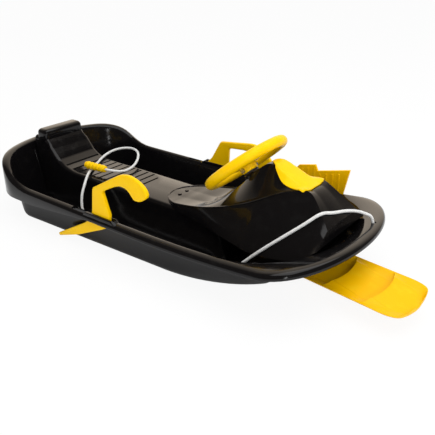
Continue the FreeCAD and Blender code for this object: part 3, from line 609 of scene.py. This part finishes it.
def make_tub():
    tub = lofted("tub", tub_rings())
    tools = [block("hollow", (at(0.078), -HUMP_HALF + WALL, -0.01), (at(0.652), HUMP_HALF - WALL, 0.02)),
             lever_slot(-LEVER_SIDE), lever_slot(LEVER_SIDE), well("well_room", 0.0),
             rod("cord_hole", (CORD_HOLE.x, CORD_HOLE.y, 0.09), (CORD_HOLE.x, CORD_HOLE.y, 0.14), 0.004)]
    cut(tub, tools)
    hump = lofted("hump", [hump_ring(station, groove) for station, groove in hump_stations()])
    pad = block("backrest_pad", (at(PAD_REAR), -PAD_HALF, PAD_LOW), (at(PAD_FRONT), PAD_HALF, PAD_HIGH))
    finish_modifier(pad, "BEVEL", width=0.011, segments=6)
    extras = [make_housing(-1), make_housing(1), make_well_cover()]
    for side in (-1, 1):
        y = side * 0.0632
        extras.append(rod("corner_fillet", (-0.4606, y, 0.010), (-0.4836, y, 0.122), 0.003, 16))
        for step in (-SLOT_HALF - LUG_THICK, SLOT_HALF):
            y = side * LEVER_SIDE + step
            low, high = (PIVOT.x - LUG_HALF, y, LUG_LOW), (PIVOT.x + LUG_HALF, y + LUG_THICK, LUG_HIGH)
            extras.append(block("lug", low, high, 0.001))
    boss = rod("boss", on_column(0.1685), on_column(0.194), BOSS_RADIUS)
    cut(boss, [rod("bore", on_column(0.150), on_column(0.240), BUSH_BORE)])
    join(tub, [hump, pad, boss] + extras)
    smooth(tub, 32)
    return tub


tub = make_tub()
dress(tub, BLACK, "black_plastic", "tub", "tub_shell")

# Hood: knots along it, each with half width and height of base, shoulder and top
HOOD_START, HOOD_LENGTH, HOOD_HALF, HOOD_TOP = 0.46295, 0.412, 0.124, 0.225
HOOD_KNOTS = [
    (0.000, 0.080, 0.411, 0.060, 0.430, 0.030, 0.431),
    (0.012, 0.215, 0.411, 0.195, 0.431, 0.100, 0.431),
    (0.040, 0.335, 0.410, 0.315, 0.432, 0.150, 0.432),
    (0.080, 0.440, 0.400, 0.415, 0.437, 0.165, 0.434),
    (0.143, 0.516, 0.382, 0.490, 0.449, 0.161, 0.440),
    (0.298, 0.565, 0.356, 0.516, 0.498, 0.129, 0.480),
    (0.452, 0.661, 0.333, 0.500, 0.578, 0.113, 0.702),
    (0.571, 0.758, 0.329, 0.484, 0.667, 0.145, 0.924),
    (0.643, 0.831, 0.333, 0.460, 0.733, 0.129, 1.000),
    (0.738, 0.855, 0.347, 0.380, 0.822, 0.170, 0.933),
    (0.833, 0.855, 0.373, 0.290, 0.876, 0.145, 0.867),
    (0.893, 0.831, 0.400, 0.270, 0.845, 0.145, 0.836),
    (1.000, 0.766, 0.462, 0.468, 0.645, 0.194, 0.650),
]
HOOD_LINES = through(HOOD_KNOTS, 7)
HOOD_WALL = 0.0028
BEAD, BEAD_END = 0.0017, 0.80
SCREW_STATION, SCREW_OFFSET = 0.48795, 0.012


def hood_at(share):
    for low, high in zip(HOOD_LINES, HOOD_LINES[1:]):
        if low[0] <= share <= high[0]:
            part = (share - low[0]) / max(high[0] - low[0], 1e-9)
            return [mix(a, b, part) for a, b in zip(low, high)]
    return list(HOOD_LINES[-1])


def curve(first, control, last, steps):
    made = []
    for step in range(steps):
        t = step / steps
        made.append(tuple((1 - t) ** 2 * a + 2 * t * (1 - t) * b + t * t * c
                          for a, b, c in zip(first, control, last)))
    return made


# Height of the bow's inner face, on which the hood's front rests
def bow_height(x, y):
    low, high = 0.0, HULL_TOP
    for _ in range(24):
        height = (low + high) / 2
        share = height / HULL_TOP
        lean = math.sqrt(max(0, 1 - (y / (mix(*HULL_FRONT_HALF, share) - WALL)) ** 2))
        front = at(mix(*HULL_FRONT, share) - BOW_WALL) - (mix(*HULL_FRONT_ROUND, share) - WALL) * (1 - lean)
        if front < x:
            low = height
        else:
            high = height
    return low


# Right half of one hood section, from the base up to the middle of the top
def hood_half(share):
    _, base, base_up, side, side_up, top, top_up = hood_at(share)
    floor = bow_height(at(HOOD_START) + share * HOOD_LENGTH, base * HOOD_HALF) + 0.0008
    base = (base * HOOD_HALF, max(base_up * HOOD_TOP, floor))
    side = (side * HOOD_HALF, side_up * HOOD_TOP)
    top = (top * HOOD_HALF, top_up * HOOD_TOP)
    tall = max(side[1] - base[1], 0)
    bulge = ((base[0] + side[0]) / 2 + 0.05 * tall, (base[1] + side[1]) / 2)
    rise = abs(top[1] - side[1])
    dish = ((side[0] + top[0]) / 2 - 0.10 * rise, (side[1] + top[1]) / 2 - 0.04 * rise)
    crown = top[1] + 0.0006
    return (curve(base, bulge, side, 9) + curve(side, dish, top, 10)
            + curve(top, (top[0] * 0.5, crown), (0.0, crown), 4) + [(0.0, crown)])


def shell_ring(x, half, outer, inner):
    full = both_sides(half)

    def moved(shift):
        made = []
        for index, (y, z) in enumerate(full):
            before = full[max(index - 1, 0)]
            after = full[min(index + 1, len(full) - 1)]
            dy, dz = after[0] - before[0], after[1] - before[1]
            size = math.hypot(dy, dz) or 1
            made.append(Vector((x, y - dz / size * shift, z + dy / size * shift)))
        return made

    return moved(outer) + list(reversed(moved(inner)))


# Raised bead along both shoulders and round the tongue
def make_bead():
    side = [Vector((at(HOOD_START) + line[0] * HOOD_LENGTH, line[3] * HOOD_HALF, line[4] * HOOD_TOP))
            for line in HOOD_LINES if line[0] <= BEAD_END]
    path = [Vector((place.x, -place.y, place.z)) for place in reversed(side)] + side
    rings = []
    for index, place in enumerate(path):
        along = (path[min(index + 1, len(path) - 1)] - path[max(index - 1, 0)]).normalized()
        across = along.cross(Vector((0, 0, 1))).normalized()
        over = across.cross(along)
        radius = BEAD * min(1, (index + 1) / 4, (len(path) - index) / 4)
        rings.append([place + across * radius * math.cos(turn) + over * radius * math.sin(turn)
                      for turn in full_turn(10)])
    return lofted("shoulder_bead", rings)


def make_hood():
    rings = [shell_ring(at(HOOD_START) + line[0] * HOOD_LENGTH, hood_half(line[0]), 0.0, -HOOD_WALL)
             for line in HOOD_LINES]
    hood = lofted("hood_cover", rings)
    front = at(HOOD_START) + HOOD_LENGTH
    end_wall = lofted("end_wall", [[Vector((x, y, z)) for y, z in both_sides(hood_half(1.0))]
                                   for x in (front - HOOD_WALL, front + 0.0002)])
    cut(hood, [rod("bush_hole", WHEEL, on_column(0.060), BUSH_BORE)])
    boss = rod("bush_boss", on_column(0.0216), on_column(0.0486), BOSS_RADIUS)
    cut(boss, [rod("boss_bore", WHEEL, on_column(0.090), BUSH_BORE)])
    finish_modifier(boss, "BEVEL", width=0.002, segments=3, limit_method="ANGLE")
    x = at(SCREW_STATION)
    for y in (-SCREW_OFFSET, SCREW_OFFSET):
        cut(hood, [rod("screw_seat", (x, y, 0.0972), (x, y, 0.12), 0.0044),
                   rod("screw_hole", (x, y, 0.08), (x, y, 0.12), 0.0022)])
    join(hood, [boss, end_wall, make_bead()])
    smooth(hood, 30)
    return hood


hood = make_hood()
dress(hood, BLACK, "black_plastic", "tub", "hood")

# Shield on the hood's front, following the hood's own sections
FAIRING_START, FAIRING_LENGTH, FAIRING_HALF = 0.722, 0.093, 0.0372
FAIRING_EDGE = [(0.0, 0.10), (0.03, 0.22), (0.12, 0.40), (0.28, 0.64), (0.45, 0.84), (0.70, 0.96),
                (0.92, 1.0), (0.97, 0.93), (1.0, 0.80)]
FAIRING_OUTSIDE, FAIRING_INSIDE = 0.0028, 0.0004
PEG_STATION, PEG_OFFSET = 0.790, 0.020


def hood_top(station, offset):
    half = hood_half((station - HOOD_START) / HOOD_LENGTH)
    for (y0, z0), (y1, z1) in zip(half, half[1:]):
        if y1 <= offset <= y0:
            return mix(z0, z1, (y0 - offset) / max(y0 - y1, 1e-9))
    return HOOD_TOP


def fairing_ring(share, edge):
    station = FAIRING_START + share * FAIRING_LENGTH
    limit = edge * FAIRING_HALF
    half = hood_half((station - HOOD_START) / HOOD_LENGTH)
    inside = [(y, z) for y, z in half if y < limit]
    outside = [(y, z) for y, z in half if y >= limit]
    if outside:
        (y0, z0), (y1, z1) = outside[-1], inside[0]
        inside.insert(0, (limit, mix(z0, z1, (y0 - limit) / (y0 - y1))))
    steps = 14
    lengths = [0.0]
    for a, b in zip(inside, inside[1:]):
        lengths.append(lengths[-1] + math.dist(a, b))
    even = []
    for step in range(steps + 1):
        reach = lengths[-1] * step / steps
        index = max(i for i, value in enumerate(lengths) if value <= reach + 1e-9)
        index = min(index, len(inside) - 2)
        span = lengths[index + 1] - lengths[index] or 1
        part = (reach - lengths[index]) / span
        even.append(tuple(mix(p, q, part) for p, q in zip(inside[index], inside[index + 1])))
    return shell_ring(at(station), even, FAIRING_OUTSIDE, FAIRING_INSIDE)


def make_fairing():
    edge = through(FAIRING_EDGE, 5)
    fairing = lofted("fairing", [fairing_ring(share, width) for share, width in edge])
    x, top = at(PEG_STATION), hood_top(PEG_STATION, PEG_OFFSET)
    pegs = [rod("peg", (x, y, top - 0.0145), (x, y, top + 0.001), 0.0025, 24)
            for y in (-PEG_OFFSET, PEG_OFFSET)]
    finish_modifier(fairing, "BEVEL", width=0.0007, segments=2, limit_method="ANGLE",
                    angle_limit=math.radians(50))
    join(fairing, pegs)
    smooth(fairing, 40)
    return fairing


fairing = make_fairing()
dress(fairing, YELLOW, "yellow_plastic", "tub", "hood_fairing")


# Bolt hole across the column's axis
def cross_hole(distance):
    centre = on_column(distance)
    return rod("bolt_hole", centre - ACROSS * 0.03, centre + ACROSS * 0.03, PIN_BORE, 24)


# Steering wheel, modelled flat and then leaned back with the column
WHEEL_RADIUS, WHEEL_TUBE = 0.083, 0.011
SPOKE_ANGLES = (60, 180, 300)
SPOKE_SECTIONS = ((0.010, 0.017, 0.0065), (0.028, 0.014, 0.006), (0.050, 0.0120, 0.0052),
                  (0.067, 0.0125, 0.0052), (0.076, 0.015, 0.006), (0.081, 0.018, 0.007))
HUB_PROFILE = [(0.0092, 0.0090), (0.020, 0.0090), (0.0300, 0.0080), (0.0330, 0.0055), (0.0340, 0.0015),
               (0.0325, -0.0030), (0.0280, -0.0050), (0.0200, -0.0058), (0.0176, -0.0075),
               (0.0170, -0.0110), (0.0170, -0.0165), (0.0160, -0.0180), (0.0092, -0.0180)]


# Each section of a spoke is a rounded box: its reach, half width and half thickness
def make_spoke(angle):
    turned = Quaternion((0, 0, 1), math.radians(angle))
    rings = []
    for reach, half, thick in SPOKE_SECTIONS:
        ring = []
        for turn in full_turn(20):
            across = half * math.copysign(abs(math.cos(turn)) ** 0.6, math.cos(turn))
            lift = thick * math.copysign(abs(math.sin(turn)) ** 0.6, math.sin(turn))
            ring.append(turned @ Vector((reach, across, lift - 0.0008)))
        rings.append(ring)
    return lofted("spoke", rings)


def make_wheel():
    deselect()
    bpy.ops.mesh.primitive_torus_add(major_radius=WHEEL_RADIUS, minor_radius=WHEEL_TUBE, major_segments=96,
                                     minor_segments=24)
    wheel = bpy.context.object
    wheel.name = "wheel"
    spokes = [make_spoke(angle) for angle in SPOKE_ANGLES]
    rings = [[Vector((radius * math.cos(turn), radius * math.sin(turn), up)) for turn in full_turn(48)]
             for radius, up in HUB_PROFILE + HUB_PROFILE[:1]]
    hub = lofted("hub", rings, capped=False)
    join(wheel, spokes + [hub])
    weld(wheel)
    wheel.rotation_mode = "QUATERNION"
    wheel.rotation_quaternion = WHEEL_TURN
    wheel.location = WHEEL
    bpy.ops.object.transform_apply(location=True, rotation=True, scale=True)
    cut(wheel, [cross_hole(0.011)])
    smooth(wheel, 40)
    return wheel


wheel = make_wheel()
dress(wheel, YELLOW, "yellow_plastic", "steering", "steering_wheel")

# Ski: a trough of overlapping shells, modelled straight and then turned with the column
SKI_START, SKI_LENGTH, SKI_HALF, SKI_LIFT, SKI_HEIGHT = 0.785, 0.260, 0.060, 0.033, 0.046
SKI_KNOTS = [
    (0.000, 0.46, 0.10, 0.66, 0.90), (0.077, 0.67, 0.00, 0.92, 1.00), (0.172, 0.74, 0.00, 1.00, 1.00),
    (0.300, 0.74, 0.00, 1.00, 1.00), (0.500, 0.74, 0.00, 1.00, 1.00), (0.700, 0.74, 0.00, 1.00, 1.00),
    (0.820, 0.74, 0.00, 1.00, 1.00), (0.890, 0.74, 0.00, 1.00, 1.00), (0.940, 0.68, 0.04, 0.95, 1.00),
    (0.972, 0.57, 0.10, 0.84, 1.00), (0.991, 0.36, 0.18, 0.59, 1.00), (1.000, 0.16, 0.25, 0.30, 1.00),
]
SKI_STEPS = (0.4538, 0.7615)
SKI_STEP = 0.0130


def ski_ring(knot):
    along, base, base_up, lip, lip_up = knot
    tall = SKI_HEIGHT - SKI_LIFT
    low, high = SKI_LIFT + base_up * tall, SKI_LIFT + lip_up * tall
    base, lip = base * SKI_HALF, lip * SKI_HALF
    floor = 0.004
    for start, end in zip(SKI_STEPS, (SKI_STEPS[1], 1.0)):
        if start <= along < end:
            floor += SKI_STEP * (end - along) / (end - start)
    outer = through([(lip, high), (mix(base, lip, 0.62), mix(low, high, 0.45)), (base, low + 0.002),
                     (base - 0.004, low), (base * 0.4, low), (0.0, low)], 4)
    inner = through([(lip - 0.0036, high), (mix(base, lip, 0.5) - 0.0040, mix(low + floor, high, 0.55)),
                     (base - 0.0045, low + floor + 0.0006), (base - 0.0085, low + floor),
                     (base * 0.4, low + floor), (0.0, low + floor)], 4)
    x = at(SKI_START) + along * SKI_LENGTH
    bow = 0.108
    bend = min(1, along / 0.25, (1 - along) / 0.16)

    def placed(y, z):
        straight = Vector((x - (bow - math.sqrt(bow ** 2 - y ** 2)) * bend, y, z))
        return WHEEL + STEER @ (straight - WHEEL)

    return [placed(y, z) for y, z in shell_section(outer, inner)]


def make_ski():
    knots = through(SKI_KNOTS, 6)
    for step in SKI_STEPS:
        near = min(range(len(knots)), key=lambda index: abs(knots[index][0] - step))
        knots[near] = (step - 0.003, *knots[near][1:])
        knots.insert(near + 1, (step, *knots[near][1:]))
    knots.sort()
    ski = lofted("ski", [ski_ring(knot) for knot in knots])
    socket = rod("socket", on_column(0.1966), on_column(0.236), 0.016)
    below = block("below", (0.2, -0.05, -0.05), (0.45, 0.05, 0.0350))
    bore = rod("socket_bore", on_column(0.180), on_column(0.215), 0.00905)
    cut(socket, [below, bore, cross_hole(0.206)])
    finish_modifier(socket, "BEVEL", width=0.0012, segments=3, limit_method="ANGLE")
    join(ski, [socket])
    smooth(ski, 40)
    return ski


ski = make_ski()
# The ski takes the darker copy of the yellow, which is painted shade
dress(ski, SHADED_YELLOW, "ski_yellow", "steering", "steering_ski")

# Brake levers: outline round the pivot, as the partly pulled right lever stands
LEVER_SIZE = 0.140
LEVER_SHARES = [
    (0.196, 0.171), (0.175, 0.040), (0.110, -0.060), (0.000, -0.120), (-0.571, -0.381), (-1.050, -0.545),
    (-1.072, -0.500), (-0.400, -0.125), (-0.235, 0.000), (-0.182, 0.140), (-0.132, 0.492), (-0.112, 0.532),
    (0.430, 0.842), (0.500, 0.870), (0.591, 0.887), (0.650, 0.889), (0.705, 0.882), (0.780, 0.862),
    (0.850, 0.832), (0.915, 0.790), (0.957, 0.744), (0.980, 0.690), (0.968, 0.650), (0.929, 0.616),
    (0.870, 0.575), (0.807, 0.551), (0.755, 0.548), (0.714, 0.556), (0.680, 0.592), (0.643, 0.635),
    (0.600, 0.668), (0.555, 0.685), (0.490, 0.692), (0.434, 0.685), (0.353, 0.656), (0.150, 0.553),
    (0.105, 0.525), (0.085, 0.490),
]


def make_lever(name, side, turn):
    outline = []
    for x, z in LEVER_SHARES:
        turned = Quaternion((0, 1, 0), turn) @ Vector((x * LEVER_SIZE, 0, z * LEVER_SIZE))
        outline.append((PIVOT.x + turned.x, PIVOT.z + turned.z))
    y = side * LEVER_SIDE
    lever = plate(name, outline, y - LEVER_HALF, y + LEVER_HALF, 0.0028)
    cut(lever, [rod("pin_hole", (PIVOT.x, y - 0.02, PIVOT.z), (PIVOT.x, y + 0.02, PIVOT.z), PIN_BORE)])
    smooth(lever, 50)
    return lever


right_lever = make_lever("right_lever", -1, 0.0)
left_lever = make_lever("left_lever", 1, LEVER_RAISED)
dress(right_lever, YELLOW, "yellow_plastic", "right_brake", "right_brake_lever")
dress(left_lever, YELLOW, "yellow_plastic", "left_brake", "left_brake_lever")

# Upright guard on the left rim, with ribs on its faces
GUARD_START, GUARD_LENGTH, GUARD_TALL, GUARD_SIDE = 0.643, 0.151, 0.066, 0.193
GUARD_TOP = [(0.0, 0.0), (0.09, 0.60), (0.18, 0.86), (0.45, 1.0), (0.49, 0.80), (1.0, 1.09), (0.92, 0.15)]
GUARD_HALF, RIB_HALF, RIB_OUT = 0.003, 0.0026, 0.0040
GUARD_RIBS = [(0.14, 0.62), (0.24, 0.78), (0.34, 0.84), (0.44, 0.88), (0.54, 0.72), (0.64, 0.78),
              (0.74, 0.83), (0.84, 0.88)]


def make_guard():
    top = [(at(GUARD_START) + x * GUARD_LENGTH, SHEER_WAIST + z * GUARD_TALL) for x, z in GUARD_TOP]
    foot = [(at(GUARD_START) + GUARD_LENGTH * step / 8, 0) for step in (7.3, 6, 4, 2, 0.3)]
    outline = top[1:] + [(x, sheer(x) + 0.0013) for x, _ in foot]
    guard = plate("guard", outline, GUARD_SIDE - GUARD_HALF, GUARD_SIDE + GUARD_HALF, 0.0014, 3)
    ribs = []
    for share, high in GUARD_RIBS:
        x = at(GUARD_START) + share * GUARD_LENGTH
        ribs.append(block("rib", (x - RIB_HALF, GUARD_SIDE - RIB_OUT, sheer(x) + 0.004),
                          (x + RIB_HALF, GUARD_SIDE + RIB_OUT, SHEER_WAIST + high * GUARD_TALL), 0.0012))
    join(guard, ribs)
    smooth(guard, 40)
    return guard


guard = make_guard()
# The guard takes the darker copy of the yellow, which is painted shade
dress(guard, SHADED_YELLOW, "ski_yellow", "tub", "left_bow_guard")


# Grip on the cord's end: finger ridges along its length
GRIP_MIDDLE = Vector((-0.28675, -0.033, 0.1096))
GRIP_TURN = Quaternion((0, 0, 1), math.radians(4.5))
GRIP_HALF, GRIP_STEPS = 0.032, 66
GRIP_RADIUS, RIDGE_HEIGHT, RIDGE_PITCH = 0.0086, 0.0009, 0.0114


def make_grip():
    profile = [(GRIP_HALF, 0.0031), (GRIP_HALF, 0.0060), (GRIP_HALF - 0.0006, 0.0074)]
    for step in range(1, GRIP_STEPS):
        along = mix(GRIP_HALF - 0.001, -GRIP_HALF + 0.001, step / GRIP_STEPS)
        profile.append((along, GRIP_RADIUS + RIDGE_HEIGHT * math.cos(2 * math.pi * along / RIDGE_PITCH)))
    profile += [(-along, radius) for along, radius in reversed(profile[:3])] + profile[:1]
    rings = [[GRIP_MIDDLE + GRIP_TURN @ Vector((along, radius * math.cos(turn), radius * math.sin(turn)))
              for turn in full_turn(32)] for along, radius in profile]
    grip = lofted("cord_grip", rings, capped=False)
    weld(grip)
    smooth(grip, 60)
    return grip


grip = make_grip()
dress(grip, YELLOW, "yellow_plastic", "tub", "cord_toggle")

# Tow cord: out of the nose hole, over the hood, along the right footwell, loop on the seat, into the grip
CORD_ROUTE = [
    (0.38425, 0.0730, 0.08906), (0.38425, 0.0730, 0.13106), (0.36600, 0.0580, 0.14200),
    (0.35750, 0.0460, 0.14750), (0.34800, 0.0170, 0.15600), (0.34100, -0.0220, 0.16350),
    (0.33400, -0.0505, 0.17300), (0.31100, -0.0665, 0.15000), (0.28150, -0.0865, 0.12400),
    (0.24050, -0.1070, 0.08700), (0.21000, -0.1200, 0.05500), (0.18000, -0.1230, 0.02500),
    (0.14000, -0.1190, 0.00920), (0.09900, -0.1180, 0.00760), (0.05000, -0.1180, 0.00760),
    (-0.01775, -0.1240, 0.00750), (-0.09275, -0.1160, 0.00750), (-0.17200, -0.1230, 0.00750),
    (-0.21900, -0.1240, 0.01010), (-0.24300, -0.1210, 0.02670), (-0.25450, -0.1120, 0.06500),
    (-0.26300, -0.0880, 0.09480), (-0.28475, -0.0600, 0.10100), (-0.30975, -0.0280, 0.09580),
    (-0.33575, 0.0160, 0.09600), (-0.35775, 0.0600, 0.09920), (-0.35575, 0.1000, 0.10500),
    (-0.32575, 0.1210, 0.10920), (-0.28975, 0.1130, 0.11000), (-0.25975, 0.0860, 0.10700),
    (-0.23975, 0.0560, 0.10320), (-0.22775, 0.0260, 0.10120), (-0.22175, -0.0060, 0.10420),
    (-0.24089, -0.0294, 0.10960), (-0.26980, -0.0317, 0.10960),
]
CORD_RADIUS = 0.003


def make_cord():
    line = bpy.data.curves.new("cord", "CURVE")
    line.dimensions = "3D"
    spline = line.splines.new("NURBS")
    spline.points.add(len(CORD_ROUTE) - 1)
    for point, place in zip(spline.points, CORD_ROUTE):
        point.co = (*place, 1)
    spline.order_u = 3
    spline.use_endpoint_u = True
    spline.resolution_u = 10
    line.bevel_depth = CORD_RADIUS
    line.bevel_resolution = 6
    line.use_fill_caps = True
    cord = bpy.data.objects.new("cord", line)
    bpy.context.collection.objects.link(cord)
    return cord


# Knot under the nose: three turns of the cord pulled tight round its end, each with tilt, spin and lift
KNOT_DROP = 0.0118
KNOT_TURNS = ((26, 0, -0.0028), (-24, 70, 0.0004), (20, 140, 0.0032))


def make_knot():
    centre = CORD_HOLE - Vector((0, 0, KNOT_DROP))
    turns = []
    for tilt, spin, lift in KNOT_TURNS:
        deselect()
        bpy.ops.mesh.primitive_torus_add(major_radius=0.0048, minor_radius=0.0029, major_segments=36,
                                         minor_segments=14, location=centre + Vector((0, 0, lift)),
                                         rotation=(math.radians(tilt), 0, math.radians(spin)))
        turn = bpy.context.object
        bpy.ops.object.transform_apply(location=True, rotation=True, scale=True)
        turns.append(turn)
    knot = turns[0]
    knot.name = "knot"
    join(knot, turns[1:])
    smooth(knot, 60)
    return knot


cord = make_cord()
knot = make_knot()
dress(cord, CORD_WHITE, "white_cord", "tub", "tow_cord")
dress(knot, CORD_WHITE, "white_cord", "tub", "cord_knot")

# Finishes of the pieces that keep their CAD shape
FINISHES = {
    ZINC: ("steering_column", "wheel_bolt", "wheel_nut", "ski_bolt", "ski_nut", "guard_screws",
           "fairing_push_nuts", "column_thrust_washer", "column_retaining_ring", "right_brake_pin",
           "left_brake_pin"),
    BLACK: ("hood_screws",),
    BUSH: ("upper_column_bush", "lower_column_bush"),
}
for finish, names in FINISHES.items():
    for name in names:
        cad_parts[name].data.materials.clear()
        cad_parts[name].data.materials.append(finish)


# Studio: white floor and surround, with the camera's side of the room dark
def make_floor():
    deselect()
    bpy.ops.mesh.primitive_plane_add(size=30, location=(0, 0, -0.0005))
    floor = bpy.context.object
    floor.name = "floor"
    material, tree, shader = new_material("pale_floor")
    shader.inputs["Base Color"].default_value = (0.92, 0.92, 0.92, 1)
    shader.inputs["Roughness"].default_value = 0.8
    shader.inputs["Specular IOR Level"].default_value = 0.0
    white = tree.nodes.new("ShaderNodeEmission")
    rays = tree.nodes.new("ShaderNodeLightPath")
    share = tree.nodes.new("ShaderNodeMath")
    share.operation = "MULTIPLY"
    share.inputs[1].default_value = 0.92
    blend = tree.nodes.new("ShaderNodeMixShader")
    tree.links.new(rays.outputs["Is Camera Ray"], share.inputs[0])
    tree.links.new(share.outputs[0], blend.inputs["Fac"])
    tree.links.new(shader.outputs[0], blend.inputs[1])
    tree.links.new(white.outputs[0], blend.inputs[2])
    tree.links.new(blend.outputs[0], tree.nodes["Material Output"].inputs["Surface"])
    floor.data.materials.append(material)


# White to the camera; mirrored in the sled, warm and bright on one side only
def make_world():
    world = bpy.data.worlds.new("studio")
    bpy.context.scene.world = world
    world.use_nodes = True
    tree = world.node_tree
    rays = tree.nodes.new("ShaderNodeLightPath")
    facing = tree.nodes.new("ShaderNodeVectorMath")
    facing.operation = "DOT_PRODUCT"
    facing.inputs[1].default_value = (-0.55, 0.71, 0.44)
    tree.links.new(tree.nodes.new("ShaderNodeTexCoord").outputs["Generated"], facing.inputs[0])
    mirrored = ranged(tree, facing.outputs["Value"], 0.45, 0.97, 0.12, 1.8)

    def chosen(ray, inside, outside):
        pick_one = tree.nodes.new("ShaderNodeMix")
        tree.links.new(ray, pick_one.inputs["Factor"])
        for socket, value in (("A", outside), ("B", inside)):
            if isinstance(value, float):
                pick_one.inputs[socket].default_value = value
            else:
                tree.links.new(value, pick_one.inputs[socket])
        return pick_one.outputs["Result"]

    strength = chosen(rays.outputs["Is Glossy Ray"], mirrored, 0.72)
    strength = chosen(rays.outputs["Is Camera Ray"], 1.0, strength)
    strength = chosen(rays.outputs["Is Transmission Ray"], 1.0, strength)
    sky = tree.nodes["Background"]
    warm = blended(tree, rays.outputs["Is Glossy Ray"], (1, 1, 1), (1.0, 0.86, 0.70))
    tree.links.new(warm, sky.inputs["Color"])
    tree.links.new(strength, sky.inputs["Strength"])


def make_light(name, place, aim, size, power, mirrored=True):
    data = bpy.data.lights.new(name, "AREA")
    data.shape = "RECTANGLE"
    data.size, data.size_y = size
    data.energy = power
    lamp = bpy.data.objects.new(name, data)
    lamp.visible_glossy = mirrored
    lamp.location = place
    lamp.rotation_mode = "QUATERNION"
    lamp.rotation_quaternion = (Vector(aim) - Vector(place)).to_track_quat("-Z", "Y")
    bpy.context.collection.objects.link(lamp)


make_floor()
make_world()
make_light("overhead", (0.55, 0.1, 2.2), (0.1, 0, 0), (2.4, 1.6), 29)
make_light("front_fill", (2.2, -0.9, 1.2), (0.3, 0, 0.05), (1.2, 1.2), 10, False)
make_light("side_strip", (1.8, -1.5, 0.5), (-0.4, 0.1, 0.1), (0.12, 1.0), 4)

# Camera at the photograph's angle, for a square picture
PICTURE = 435
FOCAL_PIXELS = 579.0
eye = Vector((0.75565, -0.8945, 0.6109))
look = Vector((-0.01885, 0.1040, 0.0))
camera = bpy.data.cameras.new("camera")
camera.sensor_width = 36
camera.lens = camera.sensor_width * FOCAL_PIXELS / PICTURE
viewer = bpy.data.objects.new("camera", camera)
viewer.location = eye
viewer.rotation_mode = "QUATERNION"
viewer.rotation_quaternion = (look - eye).to_track_quat("-Z", "Y")
bpy.context.collection.objects.link(viewer)
bpy.context.scene.camera = viewer
bpy.context.scene.view_settings.view_transform = "Standard"
